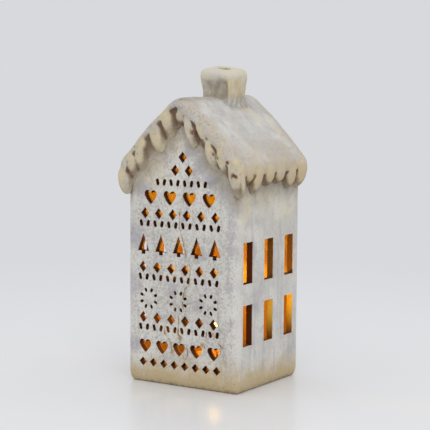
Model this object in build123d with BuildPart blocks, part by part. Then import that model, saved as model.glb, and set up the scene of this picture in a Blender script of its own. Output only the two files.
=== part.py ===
"""Tealight house: a gabled ceramic lantern house with a cut-out front, and its tealight."""
import math
import os

from build123d import *

# Overall sizes of the house, in millimetres; the front faces -Y and the base lies on z = 0.
house_width = 82
house_depth = 74
eave_height = 134
wall_thickness = 4.5
front_thickness = 5.5
floor_thickness = 5
corner_radius = 4
base_edge_radius = 3.5

# Roof: two slabs mitred at a rounded ridge that runs from front to back.
roof_pitch = 45
roof_thickness = 6.6
roof_overhang = 5.5
ridge_radius = 12
eave_radius = 14
eave_lip = 2
verge_radius = 2.5

# Chimney: a stack astride the ridge, a wider cap, and a round flue through both.
chimney_width = 20.5
chimney_depth = 19.5
chimney_set_back = 10
chimney_corner_radius = 2.5
stack_height = 9
cap_overhang = 1.4
cap_height = 9.7
cap_edge_radius = 3.2
flue_diameter = 8

# Windows: two rows of three in each side wall, spaced and shifted as shares of the house depth.
window_width = 11
window_height = 25.5
window_row_pitch = 38.5
window_centre_height = 60.6
window_pitch_share = 0.333
window_shift_share = -0.0173
left_window_width = 10
left_window_pitch_share = 0.297
left_window_shift_share = 0.004

# Round hole in the floor, in which the tealight stands on the table a little off the middle.
base_hole_clearance = 6
base_hole_edge_radius = 1
tealight_place_shares = (0.13, 0.47)

# Motifs cut through the front wall.
diamond_width = 6.3
diamond_height = 7.4
small_diamond_width = 5.7
small_diamond_height = 5.8
heart_width = 9
heart_height = 8.9
small_heart_width = 8.7
small_heart_height = 8.4
tree_width = 8.8
tree_height = 13.2
trunk_width = 3
trunk_height = 2
slot_width = 2.4
slot_length = 4.3
slot_lean = 13
petal_width = 1.9
petal_length = 2.8
rosette_radius = 5.6

# Rows of one motif: count, centre height as a share of the eave height, centre as a share of the
# house width, and pitch as a share of the house width.
diamond_row_shares = (
    (1, 1.067, 0.0016, 0.1215),
    (2, 1.006, -0.0040, 0.1215),
    (6, 0.800, -0.0223, 0.1266),
    (6, 0.548, -0.0360, 0.1279),
    (6, 0.310, -0.0348, 0.1271),
)
small_diamond_row_shares = ((8, 0.0981, -0.0210, 0.0956),)
heart_row_shares = ((4, 0.8750, -0.0254, 0.1749),)
small_heart_row_shares = ((5, 0.1733, -0.0251, 0.1550),)
tree_row_shares = ((5, 0.6560, -0.0322, 0.1610),)
rosette_row_shares = ((3, 0.3998, -0.0350, 0.2696),)
slot_row_shares = (
    (8, 0.9479, -0.0100, 0.0612),
    (12, 0.7525, -0.0260, 0.0633),
    (12, 0.5011, -0.0360, 0.0630),
    (12, 0.2640, -0.0311, 0.0633),
)
petal_count = 8

# Drips of clay under the roof edges: place along the half wall, radius and hanging length as shares.
drip_radius = 4.4
drip_length = 16
drip_stand_off = 0.5
drip_tip_share = 0.62
front_left_drip_shares = (
    (-0.19, 0.66, 0.75),
    (-0.39, 0.98, 0.84),
    (-0.70, 0.90, 0.60),
    (-0.85, 0.56, 0.42),
    (-1.00, 1.00, 0.98),
)
front_right_drip_shares = (
    (0.00, 0.57, 0.65),
    (0.18, 0.62, 1.14),
    (0.54, 0.84, 0.98),
    (0.74, 0.60, 0.48),
    (0.99, 1.00, 0.90),
)
rear_left_drip_shares = (
    (-0.13, 0.70, 0.80),
    (-0.36, 0.95, 1.05),
    (-0.60, 0.80, 0.60),
    (-0.79, 0.72, 0.70),
    (-0.99, 1.00, 0.95),
)
rear_right_drip_shares = (
    (0.08, 0.62, 0.70),
    (0.30, 0.90, 0.95),
    (0.56, 0.80, 0.62),
    (0.77, 0.74, 0.85),
    (0.99, 1.00, 0.90),
)
left_eave_drip_shares = (
    (-0.66, 0.92, 0.55),
    (-0.37, 1.00, 0.85),
    (-0.07, 0.95, 0.50),
    (0.22, 0.92, 0.62),
    (0.53, 1.00, 0.80),
)
right_eave_drip_shares = (
    (-0.74, 0.84, 0.36),
    (-0.50, 1.00, 0.82),
    (-0.10, 0.95, 0.53),
    (0.22, 0.95, 0.46),
    (0.57, 1.00, 0.73),
)

# Tealight: a thin cup with a rolled rim, its wax, and a wick held by a small metal foot.
cup_diameter = 38
cup_height = 16
cup_wall = 0.5
cup_bottom_radius = 1.5
cup_rim_radius = 0.6
wax_height = 13
wick_diameter = 1.6
wick_length = 18
sustainer_diameter = 13
sustainer_thickness = 0.4
sustainer_neck_diameter = 3.2
sustainer_neck_height = 4

# How far cutting shapes run past the faces they cut.
cut_overrun = 2

# Sizes that follow from the ones above.
pitch_rise = math.tan(math.radians(roof_pitch))
pitch_cos = math.cos(math.radians(roof_pitch))
pitch_sin = math.sin(math.radians(roof_pitch))
gable_height = eave_height + house_width / 2 * pitch_rise
roof_drop = roof_thickness / pitch_cos
roof_apex = gable_height + roof_drop
eave_x = house_width / 2 + roof_overhang
verge_y = house_depth / 2 + roof_overhang
eave_under_height = gable_height - eave_x * pitch_rise
eave_top_height = roof_apex - eave_x * pitch_rise
lip_height = eave_under_height + eave_lip
lip_x = eave_x - eave_lip * pitch_cos * pitch_sin
lip_under_height = lip_height - eave_lip * pitch_cos * pitch_cos
ridge_height = roof_apex - ridge_radius * (1 / pitch_cos - 1)
cap_base = ridge_height + stack_height
base_hole_radius = cup_diameter / 2 + base_hole_clearance
tealight_x = tealight_place_shares[0] * base_hole_clearance
tealight_y = tealight_place_shares[1] * base_hole_clearance
gable_half_width = house_width / 2 - wall_thickness
upright = 90
full_turn = 360

# Outlines of the motifs, each centred on its own origin.
with BuildSketch() as diamond:
    with BuildLine():
        Polyline(
            (0, diamond_height / 2),
            (diamond_width / 2, 0),
            (0, -diamond_height / 2),
            (-diamond_width / 2, 0),
            close=True,
        )
    make_face()

with BuildSketch() as small_diamond:
    with BuildLine():
        Polyline(
            (0, small_diamond_height / 2),
            (small_diamond_width / 2, 0),
            (0, -small_diamond_height / 2),
            (-small_diamond_width / 2, 0),
            close=True,
        )
    make_face()

heart_notch_share = 0.30
heart_lobe_share = 0.27
heart_side_share = 0.12
heart_flank_shares = (0.31, -0.20)
with BuildSketch() as heart:
    with BuildLine():
        ThreePointArc(
            (0, heart_height * heart_notch_share),
            (heart_width * heart_lobe_share, heart_height / 2),
            (heart_width / 2, heart_height * heart_side_share),
        )
        ThreePointArc(
            (heart_width / 2, heart_height * heart_side_share),
            (heart_width * heart_flank_shares[0], heart_height * heart_flank_shares[1]),
            (0, -heart_height / 2),
        )
        mirror(about=Plane.YZ)
    make_face()

with BuildSketch() as small_heart:
    with BuildLine():
        ThreePointArc(
            (0, small_heart_height * heart_notch_share),
            (small_heart_width * heart_lobe_share, small_heart_height / 2),
            (small_heart_width / 2, small_heart_height * heart_side_share),
        )
        ThreePointArc(
            (small_heart_width / 2, small_heart_height * heart_side_share),
            (small_heart_width * heart_flank_shares[0], small_heart_height * heart_flank_shares[1]),
            (0, -small_heart_height / 2),
        )
        mirror(about=Plane.YZ)
    make_face()

tree_skirt = -tree_height / 2 + trunk_height
with BuildSketch() as tree:
    with BuildLine():
        Polyline(
            (0, tree_height / 2),
            (tree_width / 2, tree_skirt),
            (trunk_width / 2, tree_skirt),
            (trunk_width / 2, -tree_height / 2),
            (-trunk_width / 2, -tree_height / 2),
            (-trunk_width / 2, tree_skirt),
            (-tree_width / 2, tree_skirt),
            close=True,
        )
    make_face()

with BuildSketch() as rosette:
    with PolarLocations(rosette_radius, petal_count, start_angle=full_turn / petal_count / 2):
        SlotOverall(petal_length, petal_width)

# Outer form of the roof, filled down to the eave lips.
with BuildPart() as roof_mound:
    with BuildSketch(Plane.XZ) as roof_section:
        with BuildLine():
            Polyline(
                (0, roof_apex),
                (eave_x, eave_top_height),
                (eave_x, lip_height),
                (lip_x, lip_under_height),
                (-lip_x, lip_under_height),
                (-eave_x, lip_height),
                (-eave_x, eave_top_height),
                close=True,
            )
        make_face()
        fillet(roof_section.vertices().group_by(Axis.Y)[2], radius=eave_radius)
        fillet(roof_section.vertices().sort_by(Axis.Y)[-1], radius=ridge_radius)
    extrude(amount=verge_y, both=True)
    fillet(
        roof_mound.faces().filter_by(Axis.Y).edges().filter_by(
            lambda edge: edge.center().Z + abs(edge.center().X) * pitch_rise > gable_height + eave_lip
        ),
        radius=verge_radius,
    )

# Space under the roof slabs, as wide and deep as the roof.
with BuildPart() as roof_space:
    with BuildSketch(Plane.XZ):
        with BuildLine():
            Polyline(
                (0, gable_height),
                (eave_x, eave_under_height),
                (eave_x, 0),
                (-eave_x, 0),
                (-eave_x, eave_under_height),
                close=True,
            )
        make_face()
    extrude(amount=verge_y + cut_overrun, both=True)

# Block of the house under the roof, which the drips lie against.
with BuildPart() as house_block:
    with BuildSketch():
        RectangleRounded(house_width, house_depth, corner_radius)
    extrude(amount=gable_height)

# Floor slab that the walls stand on, with a rounded lower edge and the round hole for the tealight.
with BuildPart() as floor_slab:
    with BuildSketch():
        RectangleRounded(house_width, house_depth, corner_radius)
    extrude(amount=floor_thickness)
    fillet(floor_slab.faces().sort_by(Axis.Z)[0].edges(), radius=base_edge_radius)
    with BuildSketch():
        Circle(base_hole_radius)
    extrude(amount=floor_thickness, mode=Mode.SUBTRACT)
    fillet(floor_slab.edges().filter_by(lambda edge: edge.is_closed), radius=base_hole_edge_radius)

# Front wall with its gable and all the cut-out rows.
front_inside = Plane.XZ.offset(house_depth / 2 - front_thickness)
with BuildPart() as front_wall:
    with BuildSketch(front_inside):
        with BuildLine():
            Polyline(
                (-gable_half_width, floor_thickness),
                (gable_half_width, floor_thickness),
                (gable_half_width, gable_height - gable_half_width * pitch_rise),
                (0, gable_height),
                (-gable_half_width, gable_height - gable_half_width * pitch_rise),
                close=True,
            )
        make_face()
    extrude(amount=front_thickness)
    with BuildSketch(front_inside.offset(-cut_overrun)):
        for outline, row_shares in (
            (diamond, diamond_row_shares),
            (small_diamond, small_diamond_row_shares),
            (heart, heart_row_shares),
            (small_heart, small_heart_row_shares),
            (tree, tree_row_shares),
            (rosette, rosette_row_shares),
        ):
            for count, height_share, centre_share, pitch_share in row_shares:
                row_pitch = pitch_share * house_width
                with Locations((centre_share * house_width, height_share * eave_height)):
                    with GridLocations(row_pitch, row_pitch, count, 1):
                        add(outline.sketch)
        for count, height_share, centre_share, pitch_share in slot_row_shares:
            row_pitch = pitch_share * house_width
            for side in (-1, 1):
                row_centre = centre_share * house_width + side * row_pitch / 2
                with Locations((row_centre, height_share * eave_height)):
                    with GridLocations(2 * row_pitch, row_pitch, count // 2, 1):
                        SlotOverall(slot_length, slot_width, rotation=upright - side * slot_lean)
    extrude(amount=front_thickness + 2 * cut_overrun, mode=Mode.SUBTRACT)

# Rear wall with its gable, closed.
rear_outside = Plane.XZ.offset(-house_depth / 2)
with BuildPart() as rear_wall:
    with BuildSketch(rear_outside):
        with BuildLine():
            Polyline(
                (-gable_half_width, floor_thickness),
                (gable_half_width, floor_thickness),
                (gable_half_width, gable_height - gable_half_width * pitch_rise),
                (0, gable_height),
                (-gable_half_width, gable_height - gable_half_width * pitch_rise),
                close=True,
            )
        make_face()
    extrude(amount=wall_thickness)

# Right wall, full depth with rounded outer corners, six windows and a top cut to the roof pitch.
with BuildPart() as right_wall:
    with BuildSketch(Plane.XZ):
        with BuildLine():
            Polyline(
                (gable_half_width, floor_thickness),
                (house_width / 2, floor_thickness),
                (house_width / 2, eave_height),
                (gable_half_width, gable_height - gable_half_width * pitch_rise),
                close=True,
            )
        make_face()
    extrude(amount=house_depth / 2, both=True)
    fillet(right_wall.faces().sort_by(Axis.X)[-1].edges().filter_by(Axis.Z), radius=corner_radius)
    with BuildSketch(Plane.YZ.offset(gable_half_width - cut_overrun)):
        with Locations((window_shift_share * house_depth, window_centre_height)):
            with GridLocations(window_pitch_share * house_depth, window_row_pitch, 3, 2):
                Rectangle(window_width, window_height)
    extrude(amount=wall_thickness + 2 * cut_overrun, mode=Mode.SUBTRACT)

# Left wall, like the right wall but with narrower windows that stand closer together.
with BuildPart() as left_wall:
    with BuildSketch(Plane.XZ):
        with BuildLine():
            Polyline(
                (-gable_half_width, floor_thickness),
                (-house_width / 2, floor_thickness),
                (-house_width / 2, eave_height),
                (-gable_half_width, gable_height - gable_half_width * pitch_rise),
                close=True,
            )
        make_face()
    extrude(amount=house_depth / 2, both=True)
    fillet(left_wall.faces().sort_by(Axis.X)[0].edges().filter_by(Axis.Z), radius=corner_radius)
    with BuildSketch(Plane.YZ.offset(-house_width / 2 - cut_overrun)):
        with Locations((left_window_shift_share * house_depth, window_centre_height)):
            with GridLocations(left_window_pitch_share * house_depth, window_row_pitch, 3, 2):
                Rectangle(left_window_width, window_height)
    extrude(amount=wall_thickness + 2 * cut_overrun, mode=Mode.SUBTRACT)

# Roof slabs: the outer form less the space below, pierced by the flue and split at the ridge.
with BuildPart() as right_roof_slab:
    add(roof_mound.part)
    add(roof_space.part, mode=Mode.SUBTRACT)
    with BuildSketch():
        with Locations((0, chimney_set_back)):
            Circle(flue_diameter / 2)
    extrude(amount=roof_apex + cut_overrun, mode=Mode.SUBTRACT)
    split(bisect_by=Plane.YZ, keep=Keep.TOP)

with BuildPart() as left_roof_slab:
    mirror(right_roof_slab.part, about=Plane.YZ)

# Chimney stack, saddled over the ridge.
with BuildPart() as chimney_stack:
    with BuildSketch(Plane.XY.offset(eave_height)):
        with Locations((0, chimney_set_back)):
            RectangleRounded(chimney_width, chimney_depth, chimney_corner_radius)
    extrude(amount=cap_base - eave_height)
    add(roof_mound.part, mode=Mode.SUBTRACT)
    with BuildSketch():
        with Locations((0, chimney_set_back)):
            Circle(flue_diameter / 2)
    extrude(amount=cap_base + cut_overrun, mode=Mode.SUBTRACT)

# Chimney cap, wider than the stack and rounded over at the top.
with BuildPart() as chimney_cap:
    with BuildSketch(Plane.XY.offset(cap_base)):
        with Locations((0, chimney_set_back)):
            RectangleRounded(
                chimney_width + 2 * cap_overhang,
                chimney_depth + 2 * cap_overhang,
                chimney_corner_radius + cap_overhang,
            )
    extrude(amount=cap_height)
    fillet(chimney_cap.faces().sort_by(Axis.Z)[-1].edges(), radius=cap_edge_radius)
    with BuildSketch(Plane.XY.offset(cap_base - cut_overrun)):
        with Locations((0, chimney_set_back)):
            Circle(flue_diameter / 2)
    extrude(amount=cap_height + 2 * cut_overrun, mode=Mode.SUBTRACT)


def hang_drip(place, reach, length):
    """Add one hanging drip of clay, a cone with a round tip, to the part being built."""
    tip = drip_tip_share * reach
    tip_depth = length - tip
    taper = math.atan2(reach, tip_depth) - math.asin(tip / math.hypot(reach, tip_depth))
    tangent_point = (tip * math.cos(taper), -tip_depth - tip * math.sin(taper))
    top = reach + cut_overrun
    top_reach = tangent_point[0] + (top - tangent_point[1]) * math.tan(taper)
    with BuildSketch(Plane(place, x_dir=(1, 0, 0), z_dir=(0, -1, 0))) as half_section:
        with BuildLine():
            RadiusArc((0, -length), tangent_point, -tip)
            Polyline(tangent_point, (top_reach, top), (0, top), (0, -length))
        make_face()
    revolve(half_section.sketch, axis=Axis(place, (0, 0, 1)))


def verge_place(place_share, wall_y):
    """Middle of a drip under a verge, on the underside of the roof."""
    drip_x = place_share * house_width / 2
    return Vector(drip_x, wall_y, gable_height - abs(drip_x) * pitch_rise)


# Drips under the verges, in front of the front wall and behind the rear wall.
with BuildPart() as front_left_verge_drips:
    for place_share, radius_share, length_share in front_left_drip_shares:
        place = verge_place(place_share, -house_depth / 2 - drip_stand_off)
        hang_drip(place, radius_share * drip_radius, length_share * drip_length)
    add(house_block.part, mode=Mode.SUBTRACT)
    add(roof_space.part, mode=Mode.INTERSECT)

with BuildPart() as front_right_verge_drips:
    for place_share, radius_share, length_share in front_right_drip_shares:
        place = verge_place(place_share, -house_depth / 2 - drip_stand_off)
        hang_drip(place, radius_share * drip_radius, length_share * drip_length)
    add(house_block.part, mode=Mode.SUBTRACT)
    add(roof_space.part, mode=Mode.INTERSECT)

with BuildPart() as rear_left_verge_drips:
    for place_share, radius_share, length_share in rear_left_drip_shares:
        place = verge_place(place_share, house_depth / 2 + drip_stand_off)
        hang_drip(place, radius_share * drip_radius, length_share * drip_length)
    add(house_block.part, mode=Mode.SUBTRACT)
    add(roof_space.part, mode=Mode.INTERSECT)

with BuildPart() as rear_right_verge_drips:
    for place_share, radius_share, length_share in rear_right_drip_shares:
        place = verge_place(place_share, house_depth / 2 + drip_stand_off)
        hang_drip(place, radius_share * drip_radius, length_share * drip_length)
    add(house_block.part, mode=Mode.SUBTRACT)
    add(roof_space.part, mode=Mode.INTERSECT)

# Drips under the eaves, along the side walls.
eave_drip_x = house_width / 2 + drip_stand_off
with BuildPart() as left_eave_drips:
    for place_share, radius_share, length_share in left_eave_drip_shares:
        place = Vector(-eave_drip_x, place_share * house_depth / 2, eave_height)
        hang_drip(place, radius_share * drip_radius, length_share * drip_length)
    add(house_block.part, mode=Mode.SUBTRACT)
    add(roof_space.part, mode=Mode.INTERSECT)

with BuildPart() as right_eave_drips:
    for place_share, radius_share, length_share in right_eave_drip_shares:
        place = Vector(eave_drip_x, place_share * house_depth / 2, eave_height)
        hang_drip(place, radius_share * drip_radius, length_share * drip_length)
    add(house_block.part, mode=Mode.SUBTRACT)
    add(roof_space.part, mode=Mode.INTERSECT)

# Tealight cup, a shell open at the top with a rolled rim.
cup_place = Plane((tealight_x, tealight_y, 0))
cup_inside = cup_place.offset(cup_wall)
rim_section = Plane(
    (tealight_x + cup_diameter / 2 + cup_rim_radius - cup_wall, tealight_y, cup_height),
    x_dir=(1, 0, 0),
    z_dir=(0, -1, 0),
)
with BuildPart() as tealight_cup:
    with BuildSketch(cup_place):
        Circle(cup_diameter / 2)
    extrude(amount=cup_height)
    fillet(tealight_cup.faces().sort_by(Axis.Z)[0].edges(), radius=cup_bottom_radius)
    offset(amount=-cup_wall, openings=tealight_cup.faces().sort_by(Axis.Z)[-1])
    with BuildSketch(rim_section):
        Circle(cup_rim_radius)
    revolve(axis=Axis(cup_place.origin, (0, 0, 1)))

# Wick and the metal foot that holds it on the floor of the cup.
with BuildPart() as tealight_wick:
    with BuildSketch(cup_inside):
        Circle(wick_diameter / 2)
    extrude(amount=wick_length)
    fillet(tealight_wick.faces().sort_by(Axis.Z)[-1].edges(), radius=wick_diameter / 4)

with BuildPart() as wick_sustainer:
    with BuildSketch(cup_inside):
        Circle(sustainer_diameter / 2)
    extrude(amount=sustainer_thickness)
    with BuildSketch(cup_inside):
        Circle(sustainer_neck_diameter / 2)
    extrude(amount=sustainer_neck_height)
    with BuildSketch(cup_inside):
        Circle(wick_diameter / 2)
    extrude(amount=sustainer_neck_height, mode=Mode.SUBTRACT)

# Wax filling the cup round the wick and its foot.
with BuildPart() as tealight_wax:
    with BuildSketch(cup_inside):
        Circle(cup_diameter / 2 - cup_wall)
    extrude(amount=wax_height)
    fillet(tealight_wax.faces().sort_by(Axis.Z)[0].edges(), radius=cup_bottom_radius - cup_wall)
    add(wick_sustainer.part, mode=Mode.SUBTRACT)
    with BuildSketch(cup_inside):
        Circle(wick_diameter / 2)
    extrude(amount=wax_height, mode=Mode.SUBTRACT)

os.makedirs("parts", exist_ok=True)

floor_slab.part.label = "floor_slab"
export_step(floor_slab.part, "parts/floor_slab.step")

front_wall.part.label = "front_wall"
export_step(front_wall.part, "parts/front_wall.step")

rear_wall.part.label = "rear_wall"
export_step(rear_wall.part, "parts/rear_wall.step")

left_wall.part.label = "left_wall"
export_step(left_wall.part, "parts/left_wall.step")

right_wall.part.label = "right_wall"
export_step(right_wall.part, "parts/right_wall.step")

left_roof_slab.part.label = "left_roof_slab"
export_step(left_roof_slab.part, "parts/left_roof_slab.step")

right_roof_slab.part.label = "right_roof_slab"
export_step(right_roof_slab.part, "parts/right_roof_slab.step")

chimney_stack.part.label = "chimney_stack"
export_step(chimney_stack.part, "parts/chimney_stack.step")

chimney_cap.part.label = "chimney_cap"
export_step(chimney_cap.part, "parts/chimney_cap.step")

front_left_verge_drips.part.label = "front_left_verge_drips"
export_step(front_left_verge_drips.part, "parts/front_left_verge_drips.step")

front_right_verge_drips.part.label = "front_right_verge_drips"
export_step(front_right_verge_drips.part, "parts/front_right_verge_drips.step")

rear_left_verge_drips.part.label = "rear_left_verge_drips"
export_step(rear_left_verge_drips.part, "parts/rear_left_verge_drips.step")

rear_right_verge_drips.part.label = "rear_right_verge_drips"
export_step(rear_right_verge_drips.part, "parts/rear_right_verge_drips.step")

left_eave_drips.part.label = "left_eave_drips"
export_step(left_eave_drips.part, "parts/left_eave_drips.step")

right_eave_drips.part.label = "right_eave_drips"
export_step(right_eave_drips.part, "parts/right_eave_drips.step")

tealight_cup.part.label = "tealight_cup"
export_step(tealight_cup.part, "parts/tealight_cup.step")

tealight_wax.part.label = "tealight_wax"
export_step(tealight_wax.part, "parts/tealight_wax.step")

tealight_wick.part.label = "tealight_wick"
export_step(tealight_wick.part, "parts/tealight_wick.step")

wick_sustainer.part.label = "wick_sustainer"
export_step(wick_sustainer.part, "parts/wick_sustainer.step")
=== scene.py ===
"""Looks of a ceramic tealight house: limewashed clay walls, a soft dripping roof and a lit tealight."""
import math

import bmesh
import bpy
import numpy as np
from bpy.props import FloatProperty, FloatVectorProperty, PointerProperty
from mathutils import Euler, Matrix, Vector, noise


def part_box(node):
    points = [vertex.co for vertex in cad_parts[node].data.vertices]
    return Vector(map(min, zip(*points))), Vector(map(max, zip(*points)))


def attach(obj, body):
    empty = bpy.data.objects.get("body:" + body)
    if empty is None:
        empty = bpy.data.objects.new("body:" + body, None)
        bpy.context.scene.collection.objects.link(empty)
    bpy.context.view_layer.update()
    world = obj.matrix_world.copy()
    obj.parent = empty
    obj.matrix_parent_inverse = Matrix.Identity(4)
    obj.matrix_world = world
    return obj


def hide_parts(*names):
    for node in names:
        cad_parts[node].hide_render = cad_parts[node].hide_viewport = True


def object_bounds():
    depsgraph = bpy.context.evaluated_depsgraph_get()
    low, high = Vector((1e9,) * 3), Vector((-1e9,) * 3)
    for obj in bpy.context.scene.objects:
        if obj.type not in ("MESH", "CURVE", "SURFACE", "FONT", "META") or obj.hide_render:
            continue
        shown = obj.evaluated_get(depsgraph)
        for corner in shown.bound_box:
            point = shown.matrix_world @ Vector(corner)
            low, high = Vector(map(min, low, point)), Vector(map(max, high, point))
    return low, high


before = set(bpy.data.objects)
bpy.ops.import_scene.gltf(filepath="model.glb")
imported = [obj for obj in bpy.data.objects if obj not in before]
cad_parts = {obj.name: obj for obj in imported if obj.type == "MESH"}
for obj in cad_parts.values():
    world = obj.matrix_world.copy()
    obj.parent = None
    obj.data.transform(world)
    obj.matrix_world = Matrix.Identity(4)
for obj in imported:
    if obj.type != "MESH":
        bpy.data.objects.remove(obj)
CAD_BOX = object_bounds()

bl_info = {
    "name": "Tealight House",
    "version": (1, 0, 0),
    "blender": (4, 5, 0),
    "location": "3D View > Sidebar > Tealight House",
    "description": "Dresses a ceramic tealight house and its candle around their solid model",
    "category": "Object",
}

# Lengths in the tables below are millimetres; Blender works in metres.
MM = 0.001


def corner(node, side, axis):
    """One coordinate, in millimetres, of the lowest (0) or highest (1) corner of a solid."""
    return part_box(node)[side][axis] / MM


def centre(node, axis):
    """The coordinate, in millimetres, halfway between both corners of a solid."""
    return (corner(node, 0, axis) + corner(node, 1, axis)) / 2


# Sizes read from the solids.
HALF_WIDTH = corner("right_wall", 1, 0)
HALF_DEPTH = corner("right_wall", 1, 1)
INNER_HALF_WIDTH = corner("right_wall", 0, 0)
INNER_FRONT = corner("front_wall", 1, 1)
INNER_REAR = corner("rear_wall", 0, 1)
GABLE_PEAK = corner("front_wall", 1, 2)
EAVE_REACH = corner("right_roof_slab", 1, 0)
VERGE_REACH = corner("right_roof_slab", 1, 1)
RIDGE_TOP = corner("right_roof_slab", 1, 2)
CHIMNEY_TOP = corner("chimney_cap", 1, 2)
CHIMNEY_Y = centre("chimney_cap", 1)
STACK_HALF_WIDTH = corner("chimney_stack", 1, 0)
STACK_HALF_DEPTH = corner("chimney_stack", 1, 1) - CHIMNEY_Y
CUP_X, CUP_Y = centre("tealight_cup", 0), centre("tealight_cup", 1)
WAX_RADIUS = corner("tealight_wax", 1, 0) - CUP_X
WAX_BASE = corner("tealight_wax", 0, 2)
WAX_TOP = corner("tealight_wax", 1, 2)
WICK_RADIUS = corner("tealight_wick", 1, 0) - CUP_X
WICK_TOP = corner("tealight_wick", 1, 2)

# Radius of the walls' upright corners, and how far over the round ridge the straight slopes would meet.
CORNER_ROUND = 4
RIDGE_LIFT = 4.97

# Lobes of clay on the verges: across, height of the middle, half width, half height, and how far the
# top leans to the right, in degrees.
FRONT_LOBES = (
    (-9.4, 164.3, 4.9, 10.5, -11), (-17.3, 154.5, 5, 10, -15), (-27.5, 150.5, 3, 3.6, 0),
    (-29.8, 142, 4.1, 7.6, 0), (-35.9, 137.4, 3.4, 7, 0), (-41.9, 126.3, 4.8, 8.8, -12),
    (0.6, 168.3, 3.9, 4.6, -6), (7.2, 158.4, 3.2, 10.8, -12), (16.2, 158, 3.2, 7, -31),
    (22.4, 145.5, 3.8, 9.5, -16), (30.7, 142.5, 3.5, 8.5, -9), (40.3, 132, 5.5, 12.5, -4),
)
REAR_LOBES = (
    (-5.5, 165, 3.5, 8, 6), (-15, 155, 5, 9.5, 12), (-24.5, 148, 4, 7, 8), (-32.5, 139.5, 3.5, 7.5, 4),
    (-40.5, 129.5, 5, 10, 6), (3.5, 168, 3, 7, 0), (12.5, 158, 4.5, 9.5, 10), (23, 149, 4, 7.5, 12),
    (31.5, 140.5, 4, 8, 8), (39.5, 131.5, 5, 8.5, 4),
)
# Lobes of clay on the eaves: along the wall, height of the middle, half width, half height, and how far
# the top leans to the rear, in degrees.
RIGHT_LOBES = (
    (-30, 134, 5, 5.5, 18), (-21.5, 129.5, 5, 8.5, 22), (-6.5, 132, 5.5, 6.5, 13), (6, 132, 6, 6, 12),
    (19.5, 129.5, 5.5, 7.5, 20), (32.5, 130.5, 6.5, 9.5, 16),
)
LEFT_LOBES = (
    (-32, 131, 6, 9, -8), (-18.5, 129.5, 5.5, 8, 10), (-5.5, 132, 6, 6.5, 6), (8, 131.5, 5.5, 6.5, -6),
    (20, 129.5, 5, 8, -12), (32.5, 131, 6, 9, 4),
)

# Spots of paint, each a place and its reach: chips on the roof's edge, painted shade in the hollows
# beside the lobes nearest to the ridge, and yellowed places on the front and right walls.
CHIPS = (
    (-3.5, -41, 170.5, 2.4), (11.5, -40.5, 159, 4.5), (16.8, -40, 152.5, 3.5), (24.5, -42, 146, 2.6),
    (40.5, -42, 133.5, 3.4), (28, -42, 144, 1.6), (35.5, -42, 141.5, 2), (46, -28, 134, 1.4),
)
SHADED_HOLLOWS = ((0, -39, 160, 8), (12.5, -39, 156, 5), (16.5, -39, 150, 4.5))
YELLOWED = (
    (-22, -37, 134, 18), (-4, -37, 150, 10), (41, -30, 114, 14), (41, -6, 118, 12), (41, 20, 106, 10),
)


def on_front(spots):
    """Spots on the face of the front wall from how far across, how high and how large they are."""
    return [(across, -HALF_DEPTH, up, reach) for across, up, reach in spots]


# Blotches of ochre round the lowest cut-outs, and grey smudges all over the front wall; the smudges
# just under the roof's edge are painted shade.
STAINS = on_front((
    (-1.7, 29.5, 3.2), (-7.2, 26, 2.6), (-7, 21.5, 3), (4.2, 24, 2.8), (15.5, 28, 2.4),
    (18.1, 34, 2.6), (23.3, 35, 2.6), (28.5, 28, 2.6), (-2, 108.5, 1.6), (5.2, 65.5, 2),
    (2.6, 19, 2.4), (-12.6, 33, 1.8),
))
SMUDGES_AND_SHADE = on_front((
    (37, 114, 9), (36.5, 104, 5), (36, 97, 4.5), (36.5, 88, 5), (31, 122, 9), (24, 132, 7),
    (-37, 62, 10), (-37, 92, 12), (-30, 122, 8), (-36, 24, 8), (-8, 60, 7), (14, 84, 6), (12, 52, 6),
    (34, 66, 5), (15, 138, 8), (20.5, 130.5, 7), (6, 147, 7),
))

# Hairline cracks on the front wall: points across and up.
HAIRLINES = (
    ((-2.0, 109.5), (-1.8, 106.5), (-1.6, 104.5), (-2.0, 101.5), (-2.1, 98.8), (-1.0, 97.2),
     (-0.4, 95.0), (0.5, 92.0), (1.4, 88.4), (2.3, 85.8), (3.0, 82.8), (5.0, 79.0), (6.2, 74.5),
     (6.0, 70.0), (5.5, 67.0), (5.0, 63.8), (2.4, 62.2), (1.1, 57.6), (0.6, 53.0), (1.1, 49.6),
     (1.8, 47.6)),
    ((-3.2, 46.6), (-2.2, 42.0), (-2.5, 38.0), (-2.6, 33.0), (-0.5, 31.5), (1.7, 30.2), (3.2, 28.5),
     (4.2, 24.5), (4.4, 20.5)),
    ((-12.9, 38.0), (-12.8, 32.5), (-9.6, 29.5), (-7.8, 26.5), (-7.6, 21.5)),
    ((18.2, 37.2), (18.1, 33.0), (16.6, 30.0), (16.9, 26.5)),
    ((23.3, 37.5), (23.3, 33.0), (26.0, 31.0), (28.6, 29.0), (28.9, 24.0)),
)


def paint(red, green, blue):
    """Scene-linear colour of a paint whose display values run from 0 to 255."""
    shares = (level / 255 for level in (red, green, blue))
    return tuple(s / 12.92 if s <= 0.04045 else ((s + 0.055) / 1.055) ** 2.4 for s in shares)


def colour_setting(name, description, display):
    """A colour that the sidebar offers."""
    return FloatVectorProperty(
        name=name, description=description, subtype="COLOR", size=3, min=0, max=1,
        default=paint(*display),
    )


def length_setting(name, description, length):
    """A length that the sidebar offers."""
    return FloatProperty(name=name, description=description, unit="LENGTH", min=0, default=length * MM)


def power_setting(name, description, power):
    """The power of a lamp that the sidebar offers."""
    return FloatProperty(name=name, description=description, unit="POWER", min=0, default=power)


def factor_setting(name, description, factor):
    """A plain number that the sidebar offers."""
    return FloatProperty(name=name, description=description, min=0, default=factor)


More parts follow.
